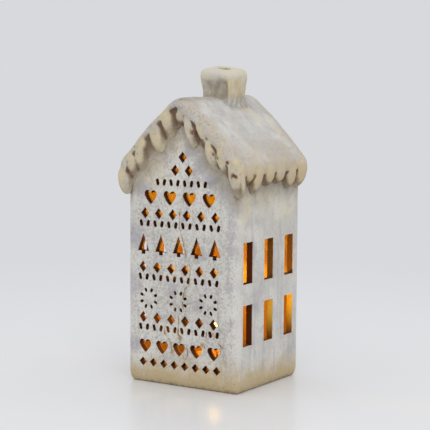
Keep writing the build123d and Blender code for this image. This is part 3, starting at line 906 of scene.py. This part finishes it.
def chimney_block():
    """A soft square block with a flared top, bedded on the ridge, that leans to the front right."""
    rings = []
    for share, growth in CHIMNEY_RINGS:
        ring = []
        for step in range(CHIMNEY_SIDES):
            turn = math.tau * step / CHIMNEY_SIDES
            powers = (abs(way(turn)) ** CHIMNEY_SQUARENESS for way in (math.cos, math.sin))
            ease = sum(powers) ** (-1 / CHIMNEY_SQUARENESS)
            across = (STACK_HALF_WIDTH + growth) * ease * math.cos(turn)
            along = (STACK_HALF_DEPTH + growth) * ease * math.sin(turn)
            foot = RIDGE_TOP - CHIMNEY_SINK - ridge_arc(abs(across))
            top = CHIMNEY_TOP - TOP_DROP - TOP_TILT * (across - along)
            ring.append((across, CHIMNEY_Y + along, foot + share * (top - foot)))
        rings.append(ring)
    return loft(rings)


def flue_cutter(diameter):
    """A round bar down the chimney into the house."""
    flue = bmesh.new()
    bmesh.ops.create_cone(
        flue, cap_ends=True, segments=FLUE_SIDES, radius1=diameter / 2, radius2=diameter / 2,
        depth=(CHIMNEY_TOP - GABLE_PEAK + FLUE_OVERRUN) * MM,
        matrix=Matrix.Translation(Vector((0, CHIMNEY_Y, CHIMNEY_TOP)) * MM),
    )
    return mesh_of(flue)


# Lobes of clay: half depth, which grows with the half width, how far each lies inside the roof's reach,
# how much it leans out, and how fine its ball is.
LOBE_DEPTH = 1.2
LOBE_DEPTH_SHARE = 0.35
VERGE_LOBE_INSET = 0.9
EAVE_LOBE_INSET = 0.4
VERGE_LEAN = math.radians(9)
EAVE_LEAN = math.radians(14)
BALL_DETAIL = 4


def lobe_points():
    """Middle, half sizes and turn of each lobe of clay on the roof's edges."""
    lobes = []
    for table, end in ((FRONT_LOBES, -1), (REAR_LOBES, 1)):
        for across, height, half_width, half_height, lean in table:
            depth = LOBE_DEPTH + LOBE_DEPTH_SHARE * half_width
            middle = (across, end * (VERGE_REACH - depth - VERGE_LOBE_INSET), height)
            turn = (-end * VERGE_LEAN, math.radians(lean), 0)
            lobes.append((middle, (half_width, depth, half_height), turn))
    for table, end in ((LEFT_LOBES, -1), (RIGHT_LOBES, 1)):
        for along, height, half_width, half_height, lean in table:
            depth = LOBE_DEPTH + LOBE_DEPTH_SHARE * half_width
            middle = (end * (EAVE_REACH - depth - EAVE_LOBE_INSET), along, height)
            turn = (-math.radians(lean), end * EAVE_LEAN, 0)
            lobes.append((middle, (depth, half_width, half_height), turn))
    return lobes


def lobe_nodes(wires):
    """Geometry nodes that set a ball of clay, stretched and turned, at each point."""
    start = wires["Geometry"]
    ball = {"Radius": 1.0, "Subdivisions": wires["Ball detail"]}
    ball = start.node("GeometryNodeMeshIcoSphere", ball)
    half_size, turn = (
        start.node("GeometryNodeInputNamedAttribute", {"Name": name}, data_type="FLOAT_VECTOR")
        for name in ("half_size", "turn")
    )
    rotation = start.node("FunctionNodeEulerToRotation", {0: turn})
    sockets = {"Points": start, "Instance": ball, "Rotation": rotation, "Scale": half_size}
    return start.node("GeometryNodeInstanceOnPoints", sockets)


def clay_lobes(lobes, material):
    """All the lobes as one mesh of overlapping balls."""
    mesh = bpy.data.meshes.new("lobe_points")
    mesh.from_pydata([Vector(middle) * MM for middle, size, turn in lobes], [], [])
    for name, column, scale in (("half_size", 1, MM), ("turn", 2, 1)):
        values = np.array([lobe[column] for lobe in lobes], np.float32) * scale
        attribute = mesh.attributes.new(name, "FLOAT_VECTOR", "POINT")
        attribute.data.foreach_set("vector", values.ravel())
    return grown(mesh, "Clay lobes", {"Ball detail": BALL_DETAIL}, lobe_nodes, material)


def fused(mesh, grain, softness):
    """One skin round all the clay, smoothed as a thumb would."""

    def add_modifiers(helper):
        skin = helper.modifiers.new("skin", "REMESH")
        skin.mode = "VOXEL"
        skin.voxel_size = grain
        soft = helper.modifiers.new("soft", "SMOOTH")
        soft.factor = 0.5
        soft.iterations = softness

    return settled(mesh, add_modifiers)


def mesh_points(mesh):
    """Positions and normals of a mesh's points as arrays."""
    places, normals = (np.zeros(len(mesh.vertices) * 3, np.float32) for kind in range(2))
    mesh.vertices.foreach_get("co", places)
    mesh.vertex_normals.foreach_get("vector", normals)
    return places.reshape(-1, 3), normals.reshape(-1, 3)


# Hand-pressed lumps: size of the broad and the fine ones and of those round the chimney's foot, and how
# high the last two are against the first.
BROAD_LUMP = 11
FINE_LUMP, FINE_HEIGHT = 4, 0.4
COLLAR_LUMP, COLLAR_HEIGHT = 2.6, 1.2
FINE_LUMP_SHIFT = Vector((9, 4, 2))
# The collar of clay round the chimney's foot: how far out from it and over the ridge, and its reach.
COLLAR_OUT, COLLAR_UP, COLLAR_REACH = 1.5, 0.5, 4


def collar_weight(points):
    """How close points, in millimetres, lie to the clay that beds the chimney."""
    beside_x = np.abs(points[:, 0]) - STACK_HALF_WIDTH
    beside_y = np.abs(points[:, 1] - CHIMNEY_Y) - STACK_HALF_DEPTH
    over = points[:, 2] - RIDGE_TOP + ridge_arc(np.abs(points[:, 0]))
    near = 1 - np.abs(np.maximum(beside_x, beside_y) - COLLAR_OUT) / COLLAR_REACH
    level = 1 - np.abs(over - COLLAR_UP) / COLLAR_REACH
    return np.clip(near, 0, 1) * np.clip(level, 0, 1)


def press_lumps(mesh, height):
    """Push the clay in and out a little, and keep it inside the solids' box."""
    points, normals = mesh_points(mesh)
    lumps = np.zeros(len(points), np.float32)
    for index, (point, collar) in enumerate(zip(points, collar_weight(points / MM))):
        place = Vector(point) / MM
        lumps[index] = noise.noise(place / BROAD_LUMP)
        lumps[index] += FINE_HEIGHT * noise.noise(place / FINE_LUMP + FINE_LUMP_SHIFT)
        if collar > 0:
            lumps[index] += COLLAR_HEIGHT * collar * noise.noise(place / COLLAR_LUMP)
    points = points + normals * (lumps * height)[:, None]
    low, high = np.array(CAD_BOX, np.float32)
    mesh.vertices.foreach_set("co", np.clip(points, low, high).ravel())
    mesh.update()


# Lobes are tucked deeper by this share down the slope, outside a margin behind the gable and at the
# eave.
TUCK_SHARE = 0.4
TUCK_MARGIN = 3


def tuck_lobes(mesh):
    """Press the tops of the lobes on the verges down to the roof's rolled edge."""
    points = mesh_points(mesh)[0] / MM
    line = np.array(roof_line(0))
    across, along = np.abs(points[:, 0]), np.abs(points[:, 1])
    rolled = np.clip((along - VERGE_REACH + SHEET_ROLL) / SHEET_ROLL, 0, 1)
    fall = SHEET_ROUND * (1 - np.sqrt(1 - rolled ** 2))
    fall = fall * (1 + TUCK_SHARE * np.minimum(across / RIDGE_RADIUS, 1))
    over = points[:, 2] - np.interp(across, line[:, 0], line[:, 1]) + fall
    near = (along > HALF_DEPTH - TUCK_MARGIN) & (across < EAVE_REACH - EAVE_RECESS - TUCK_MARGIN)
    press = np.where(near, np.maximum(over, 0), 0) / 2
    points[:, 0] -= np.sign(points[:, 0]) * press
    points[:, 2] -= press
    mesh.vertices.foreach_set("co", (points * MM).ravel())
    mesh.update()


def store(mesh, name, values):
    """Keep one number for each point of a mesh as an attribute."""
    attribute = mesh.attributes.new(name, "FLOAT", "POINT")
    attribute.data.foreach_set("value", values.astype(np.float32))


# Rounds of smoothing after which the clay is compared with its surface, for small and large hollows.
HOLLOW_ROUNDS = (8, 40)
# A point belongs to a lobe up to this many half sizes from its middle, and wholly this much nearer.
LOBE_REACH = 1.35
LOBE_FADE = 0.45


def mark_hollows(mesh):
    """Store how hollow (over 0) or proud (under 0) each point lies, in millimetres or so."""
    edges = np.zeros(len(mesh.edges) * 2, np.int64)
    mesh.edges.foreach_get("vertices", edges)
    first, second = edges.reshape(-1, 2).T
    count = np.bincount(np.concatenate((first, second)), minlength=len(mesh.vertices))[:, None]
    points, normals = mesh_points(mesh)
    relaxed, hollow = points.copy(), np.zeros(len(points))
    for done in range(1, max(HOLLOW_ROUNDS) + 1):
        total = np.zeros_like(relaxed)
        np.add.at(total, first, relaxed[second])
        np.add.at(total, second, relaxed[first])
        relaxed = 0.5 * relaxed + 0.5 * total / np.maximum(count, 1)
        if done in HOLLOW_ROUNDS:
            hollow += ((relaxed - points) * normals).sum(axis=1) / MM
    store(mesh, "hollow", hollow)


def mark_lobes(mesh, lobes):
    """Store how much each point belongs to a lobe of clay."""
    points, belongs = mesh_points(mesh)[0] / MM, np.zeros(len(mesh.vertices))
    for middle, size, turn in lobes:
        upright = np.array(Euler(turn).to_matrix())
        reach = np.linalg.norm((points - np.array(middle)) @ upright / np.array(size), axis=1)
        belongs = np.maximum(belongs, np.clip((LOBE_REACH - reach) / LOBE_FADE, 0, 1))
    store(mesh, "lobe", belongs)


def rounded_foot(mesh):
    """The walls with their foot drawn in to a soft round edge all round."""
    form = bmesh.new()
    form.from_mesh(mesh)
    for level in FOOT_LEVELS:
        everything = form.verts[:] + form.edges[:] + form.faces[:]
        bmesh.ops.bisect_plane(form, geom=everything, plane_co=(0, 0, level * MM), plane_no=(0, 0, 1))
    for vertex in form.verts:
        x, y, z = vertex.co / MM
        if z >= FOOT_HEIGHT:
            continue
        across, along = abs(x) - HALF_WIDTH + CORNER_ROUND, abs(y) - HALF_DEPTH + CORNER_ROUND
        if across > 0 and along > 0:
            out, way = math.hypot(across, along), Vector((across, along)).normalized()
        else:
            out, way = max(across, along), Vector((1, 0) if across > along else (0, 1))
        inset = FOOT_INSET * (1 - math.sqrt(1 - (1 - z / FOOT_HEIGHT) ** 2))
        push = max(0, inset - (CORNER_ROUND - out))
        vertex.co -= Vector((math.copysign(way.x, x), math.copysign(way.y, y), 0)) * push * MM
    return mesh_of(form)


# The rim of clay left on the front edge of each left window: its width, how far it bites into the wall,
# how far it stays behind the wall's faces, and the windows' front edges, middles and half height.
RIM_WIDTH = 1.4
RIM_BITE = 0.4
RIM_INSET = 0.1
LEFT_WINDOW_FRONTS = (-26.68, -4.7, 17.27)
WINDOW_MIDDLES = (41.35, 79.85)
WINDOW_HALF_HEIGHT = 12.75


def window_rims():
    """Narrow strips of clay along the front edges of the left windows."""
    outer, inner = RIM_INSET - HALF_WIDTH, -RIM_INSET - INNER_HALF_WIDTH
    reach = WINDOW_HALF_HEIGHT + RIM_BITE
    rims = []
    for front in LEFT_WINDOW_FRONTS:
        near, far = front - RIM_BITE, front + RIM_WIDTH
        section = ((outer, near), (inner, near), (inner, far), (outer, far))
        for middle in WINDOW_MIDDLES:
            ends = (middle - reach, middle + reach)
            rims.append(loft([[(*point, up) for point in section] for up in ends]))
    return rims


WALL_CREASE = math.radians(35)


class TEALIGHTHOUSE_OT_walls(bpy.types.Operator):
    """Fuse the floor and the four walls into one clay shell and limewash it"""

    bl_idname = "tealight_house.walls"
    bl_label = "Walls"

    def execute(self, context):
        nodes = ("floor_slab", "front_wall", "rear_wall", "left_wall", "right_wall")
        slabs = [joined([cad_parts[node].data], weld=True) for node in nodes]
        shell = combined(slabs + window_rims(), "UNION")
        material = wall_material(context.scene.tealight_house_finish)
        walls = show("clay_walls", rounded_foot(shell), material, WALL_CREASE)
        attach(walls, "house")
        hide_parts(*nodes)
        return {"FINISHED"}


# Rounds of smoothing for the whole lump of clay, and again once the flue is cut.
LUMP_SOFTNESS = 8
FLUE_SOFTNESS = 2


class TEALIGHTHOUSE_OT_roof(bpy.types.Operator):
    """Press the roof, its drips and the chimney out of one lump of clay"""

    bl_idname = "tealight_house.roof"
    bl_label = "Roof"

    def execute(self, context):
        settings = context.scene.tealight_house_roof
        material = roof_material(context.scene.tealight_house_finish)
        lobes = lobe_points()
        clay = [roof_core(), chimney_block(), eave_cove(-1), eave_cove(1)]
        sheets = [(end, SHEET_THICKNESS, SHEET_THICKNESS) for end in (-1, 1)]
        clay += [roof_sheet(settings.verge_recess / MM, *sheet) for sheet in (*sheets, *VERGE_BANDS)]
        clay += [verge_cove(side, end) for side in (-1, 1) for end in (-1, 1)]
        clay.append(clay_lobes(lobes, material))
        lump = fused(joined(clay), settings.grain, LUMP_SOFTNESS)
        tuck_lobes(lump)
        bored = combined([lump, flue_cutter(settings.flue_diameter)], "DIFFERENCE")
        mesh = fused(bored, settings.grain, FLUE_SOFTNESS)
        press_lumps(mesh, settings.lump)
        mark_hollows(mesh)
        mark_lobes(mesh, lobes)
        roof = show("clay_roof", mesh, material)
        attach(roof, "house")
        nodes = [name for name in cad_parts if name.endswith(("_drips", "_roof_slab"))]
        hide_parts(*nodes, "chimney_stack", "chimney_cap")
        return {"FINISHED"}


# Hairlines: depth of their middle under the wall's face, radius, how far they wander, and how closely
# their path is stepped; then the scale of the noise that moves them and that varies their thickness.
HAIRLINE_DEPTH, HAIRLINE_RADIUS, HAIRLINE_WANDER, HAIRLINE_STEP = 0.12, 0.5, 0.8, 0.6
WANDER_SCALE, THICKNESS_SCALE = 420.0, 260.0


def hairline_nodes(wires):
    """Geometry nodes that lay a thin uneven thread along each crack."""
    start = wires["Geometry"]
    path = start.node("GeometryNodeMeshToCurve", {0: start})
    stepped = {"Curve": path, "Length": HAIRLINE_STEP * MM}
    path = start.node("GeometryNodeResampleCurve", stepped, mode="LENGTH")
    place = start.node("GeometryNodeInputPosition")
    noise_at = {"Vector": place, "Detail": 2.0}
    drift = start.node("ShaderNodeTexNoise", {**noise_at, "Scale": WANDER_SCALE}, 1)
    drift = drift.moved((-0.5, -0.5, -0.5)).stretched((1, 0, 1))
    drift = drift.node("ShaderNodeVectorMath", {0: drift, "Scale": wires["Wander"]}, operation="SCALE")
    path = start.node("GeometryNodeSetPosition", {"Geometry": path, "Offset": drift})
    thick = start.node("ShaderNodeTexNoise", {**noise_at, "Scale": THICKNESS_SCALE}) * 3.0 - 0.9
    circle = {"Resolution": 8, "Radius": wires["Thread radius"]}
    ring = start.node("GeometryNodeCurvePrimitiveCircle", circle)
    sockets = {"Curve": path, "Profile Curve": ring, "Fill Caps": True, "Scale": thick.most(0.05)}
    return start.node("GeometryNodeCurveToMesh", sockets)


class TEALIGHTHOUSE_OT_hairlines(bpy.types.Operator):
    """Draw the stained hairline cracks on the front wall"""

    bl_idname = "tealight_house.hairlines"
    bl_label = "Hairlines"

    def execute(self, context):
        points, edges = [], []
        for line in HAIRLINES:
            edges += [(len(points) + step, len(points) + step + 1) for step in range(len(line) - 1)]
            points += [Vector((across, HAIRLINE_DEPTH - HALF_DEPTH, up)) * MM for across, up in line]
        path = bpy.data.meshes.new("hairline_path")
        path.from_pydata(points, edges, [])
        material = hairline_material(context.scene.tealight_house_finish)
        values = {"Thread radius": HAIRLINE_RADIUS * MM, "Wander": HAIRLINE_WANDER * MM}
        mesh = grown(path, "Hairlines", values, hairline_nodes, material)
        hairlines = show("hairline_cracks", mesh, material)
        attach(hairlines, "house")
        return {"FINISHED"}


# The wax: its rounded foot as steps in and up, shares of its radius at which the melted top is drawn,
# how much of the radius the pool's edge takes, and how far and high the wax climbs the wick.
WAX_FOOT = ((1.2, 0), (0.3, 0.4), (0, 1.3))
WAX_SIDES = 72
POOL_SHARES = (0.97, 0.93, 0.88, 0.8, 0.6, 0.35, 0.15, 0.06)
POOL_EDGE = 0.2
CLIMB_REACH, CLIMB, CLIMB_TOP = 0.14, 0.35, 0.45
# The wick: strands and their turns, steps and sides; how far they lie off its axis and how thick they
# are, as shares of its radius, and how much they taper; how far its foot stands over the cup's floor;
# at which share of its height, and how far, its tip curls over.
WICK_STRANDS, WICK_TURNS, WICK_STEPS, STRAND_SIDES = 3, 3, 36, 8
STRAND_OFFSET, STRAND_SIZE, STRAND_TAPER = 0.45, 0.52, 0.35
WICK_FOOT = 0.6
CURL_START, CURL = 0.7, Vector((-1.5, -0.8, -0.5))


def wax_mesh(depth):
    """Wax in its cup, melted down to a pool that climbs the wick a little."""
    profile = [(0, WAX_BASE)] + [(WAX_RADIUS - inward, WAX_BASE + up) for inward, up in WAX_FOOT]
    profile.append((WAX_RADIUS, WAX_TOP))
    for share in POOL_SHARES:
        fall = min(1, (1 - share) / POOL_EDGE)
        climb = CLIMB * max(0, 1 - share / CLIMB_REACH)
        profile.append((share * WAX_RADIUS, WAX_TOP - depth * fall * fall * (3 - 2 * fall) + climb))
    profile.append((0, WAX_TOP - depth + CLIMB_TOP))
    return turned(profile, WAX_SIDES)


def wick_mesh():
    """Twisted strands that curl over at the charred tip."""
    strands = []
    for strand in range(WICK_STRANDS):
        rings = []
        for step in range(WICK_STEPS + 1):
            share = step / WICK_STEPS
            height = WAX_BASE + WICK_FOOT + share * (WICK_TOP - WAX_BASE - WICK_FOOT)
            curl = max(0, share - CURL_START) / (1 - CURL_START)
            turn = math.tau * (strand / WICK_STRANDS + share * WICK_TURNS)
            offset = STRAND_OFFSET * WICK_RADIUS
            middle = Vector((CUP_X + offset * math.cos(turn), CUP_Y + offset * math.sin(turn), height))
            middle += CURL * curl * curl
            size = WICK_RADIUS * STRAND_SIZE * (1 - STRAND_TAPER * curl)
            sides = (math.tau * side / STRAND_SIDES for side in range(STRAND_SIDES))
            rings.append([middle + Vector((size * math.cos(a), size * math.sin(a), 0)) for a in sides])
        strands.append(loft(rings))
    return joined(strands)


class TEALIGHTHOUSE_OT_tealight(bpy.types.Operator):
    """Melt the wax, braid the wick and finish the metal of the tealight"""

    bl_idname = "tealight_house.tealight"
    bl_label = "Tealight"

    def execute(self, context):
        finish = context.scene.tealight_house_finish
        depth = context.scene.tealight_house_tealight.pool_depth / MM
        wax = show("melted_wax", wax_mesh(depth), wax_material(finish))
        wick = show("braided_wick", wick_mesh(), wick_material(finish))
        for piece, node, slot in ((wax, "tealight_wax", "wax"), (wick, "tealight_wick", "wick")):
            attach(piece, "tealight")
            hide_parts(node)
        for node, material in (("tealight_cup", foil_material), ("wick_sustainer", tinplate_material)):
            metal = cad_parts[node].data
            metal.materials.clear()
            metal.materials.append(material(finish))
        return {"FINISHED"}


# The flame: how far over the wick's tip it starts, its rings and sides, and the powers that make its
# widest part lie low and its ends slim. Then its lamps: kind and share of the light, their radius, how
# far they stand to the front, and the spread and soft edge of the one that shines upwards.
FLAME_LIFT = 0.5
FLAME_RINGS, FLAME_SIDES = 24, 32
FLAME_LOWNESS, FLAME_SLIMNESS = 0.62, 1.15
GLOWS = (("upper_glow", "SPOT", 0.6), ("even_glow", "POINT", 0.4))
GLOW_RADIUS, GLOW_FORWARD = 6, 4
GLOW_SPREAD, GLOW_BLEND = math.radians(168), 0.6


class TEALIGHTHOUSE_OT_flame(bpy.types.Operator):
    """Light the candle"""

    bl_idname = "tealight_house.flame"
    bl_label = "Flame"

    def execute(self, context):
        settings = context.scene.tealight_house_tealight
        base, height = WICK_TOP + FLAME_LIFT, settings.flame_height / MM
        profile = [(0, base)]
        for step in range(1, FLAME_RINGS):
            share = step / FLAME_RINGS
            swell = math.sin(math.pi * share ** FLAME_LOWNESS) ** FLAME_SLIMNESS
            profile.append((settings.flame_width / MM / 2 * swell, base + share * height))
        profile.append((0, base + height))
        flame = show("candle_flame", turned(profile, FLAME_SIDES), flame_material(settings))
        flame.visible_shadow = False
        flame.visible_diffuse = False
        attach(flame, "tealight")
        for glow in GLOWS:
            self.add_glow(settings, flame, *glow)
        return {"FINISHED"}

    def add_glow(self, settings, flame, name, kind, share):
        """A lamp at the flame's tip that gives a share of its light, all round or mostly upwards."""
        lamp = bpy.data.lights.new(name, kind)
        lamp.energy = share * settings.glow_power
        lamp.color = settings.flame_colour
        lamp.shadow_soft_size = GLOW_RADIUS * MM
        if kind == "SPOT":
            lamp.spot_size = GLOW_SPREAD
            lamp.spot_blend = GLOW_BLEND
        glow = place_object(name, lamp)
        tip = WICK_TOP + settings.flame_height / MM
        glow.location = Vector((CUP_X, CUP_Y - GLOW_FORWARD, tip)) * MM
        glow.rotation_euler = (math.pi, 0, 0)
        glow.parent = flame


# The stage, in metres: half the floor's side, where the key light stands and how wide it is, and the
# nearest and farthest that the camera sees. The sensor is in millimetres, as Blender has it.
FLOOR_REACH = 6
KEY_PLACE = Vector((0.55, -0.75, 0.85))
KEY_WIDTH = 0.7
CLIP_START, CLIP_END = 0.05, 50
SENSOR_WIDTH = 36


class TEALIGHTHOUSE_OT_stage(bpy.types.Operator):
    """Set the camera, the pale floor and the soft studio light"""

    bl_idname = "tealight_house.stage"
    bl_label = "Stage"

    def execute(self, context):
        settings = context.scene.tealight_house_stage
        context.scene.camera = self.camera(settings)
        form = bmesh.new()
        bmesh.ops.create_grid(form, x_segments=1, y_segments=1, size=FLOOR_REACH)
        floor = show("floor", mesh_of(form), floor_material(settings))
        context.scene.world = self.sky(settings)
        self.add_key(settings.key_power)
        context.scene.view_settings.view_transform = "Standard"
        return {"FINISHED"}

    def camera(self, settings):
        """A camera at its place, turned by azimuth, dip and roll."""
        azimuth, dip, roll = settings.camera_turn
        data = bpy.data.cameras.new("camera")
        data.sensor_width = SENSOR_WIDTH
        data.lens = settings.lens
        data.clip_start, data.clip_end = CLIP_START, CLIP_END
        camera = place_object("camera", data)
        camera.matrix_world = Matrix.Translation(settings.camera_place)
        for angle, axis in ((azimuth, "Z"), (math.pi / 2 - dip, "X"), (roll, "Z")):
            camera.matrix_world = camera.matrix_world @ Matrix.Rotation(angle, 4, axis)
        return camera

    def sky(self, settings):
        """Even light, seen by the camera and in reflections as the pale backdrop."""
        world = bpy.data.worlds.new("studio")
        world.use_nodes = True
        world.node_tree.nodes.clear()
        seen = seen_rays(world.node_tree)
        shown = (*settings.backdrop_colour, 1)
        light, backdrop = (
            seen.node("ShaderNodeBackground", {"Color": colour, "Strength": strength})
            for colour, strength in (((1, 1, 1, 1), settings.sky_strength), (shown, 1.0))
        )
        mixed = seen.node("ShaderNodeMixShader", {0: seen, 1: light, 2: backdrop})
        seen.node("ShaderNodeOutputWorld", {"Surface": mixed})
        return world

    def add_key(self, power):
        """A wide soft lamp from the upper right, aimed at the middle of the house."""
        lamp = bpy.data.lights.new("key", "AREA")
        lamp.energy = power
        lamp.size = KEY_WIDTH
        aim = Vector((0, 0, GABLE_PEAK / 2 * MM)) - KEY_PLACE
        turn = aim.to_track_quat("-Z", "Y").to_matrix().to_4x4()
        place_object("key", lamp).matrix_world = Matrix.Translation(KEY_PLACE) @ turn


class TEALIGHTHOUSE_PT_panel(bpy.types.Panel):
    """Lists the pieces of the tealight house and their settings"""

    bl_idname = "TEALIGHTHOUSE_PT_panel"
    bl_label = "Tealight House"
    bl_space_type = "VIEW_3D"
    bl_region_type = "UI"
    bl_category = "Tealight House"

    def draw(self, context):
        for operator in OPERATORS:
            self.layout.operator(operator.bl_idname)
        for name, group in SETTINGS:
            box = self.layout.box()
            settings = getattr(context.scene, name)
            for setting in group.__annotations__:
                box.prop(settings, setting)


SETTINGS = (
    ("tealight_house_finish", FinishSettings),
    ("tealight_house_roof", RoofSettings),
    ("tealight_house_tealight", TealightSettings),
    ("tealight_house_stage", StageSettings),
)
OPERATORS = (
    TEALIGHTHOUSE_OT_walls,
    TEALIGHTHOUSE_OT_roof,
    TEALIGHTHOUSE_OT_hairlines,
    TEALIGHTHOUSE_OT_tealight,
    TEALIGHTHOUSE_OT_flame,
    TEALIGHTHOUSE_OT_stage,
)
CLASSES = tuple(group for name, group in SETTINGS) + OPERATORS + (TEALIGHTHOUSE_PT_panel,)


def register():
    for each in CLASSES:
        bpy.utils.register_class(each)
    for name, group in SETTINGS:
        setattr(bpy.types.Scene, name, PointerProperty(type=group))


def unregister():
    for name, group in reversed(SETTINGS):
        delattr(bpy.types.Scene, name)
    for each in reversed(CLASSES):
        bpy.utils.unregister_class(each)


def main():
    register()
    bpy.ops.tealight_house.walls()
    bpy.ops.tealight_house.roof()
    bpy.ops.tealight_house.hairlines()
    bpy.ops.tealight_house.tealight()
    bpy.ops.tealight_house.flame()
    bpy.ops.tealight_house.stage()


if __name__ == "__main__":
    main()
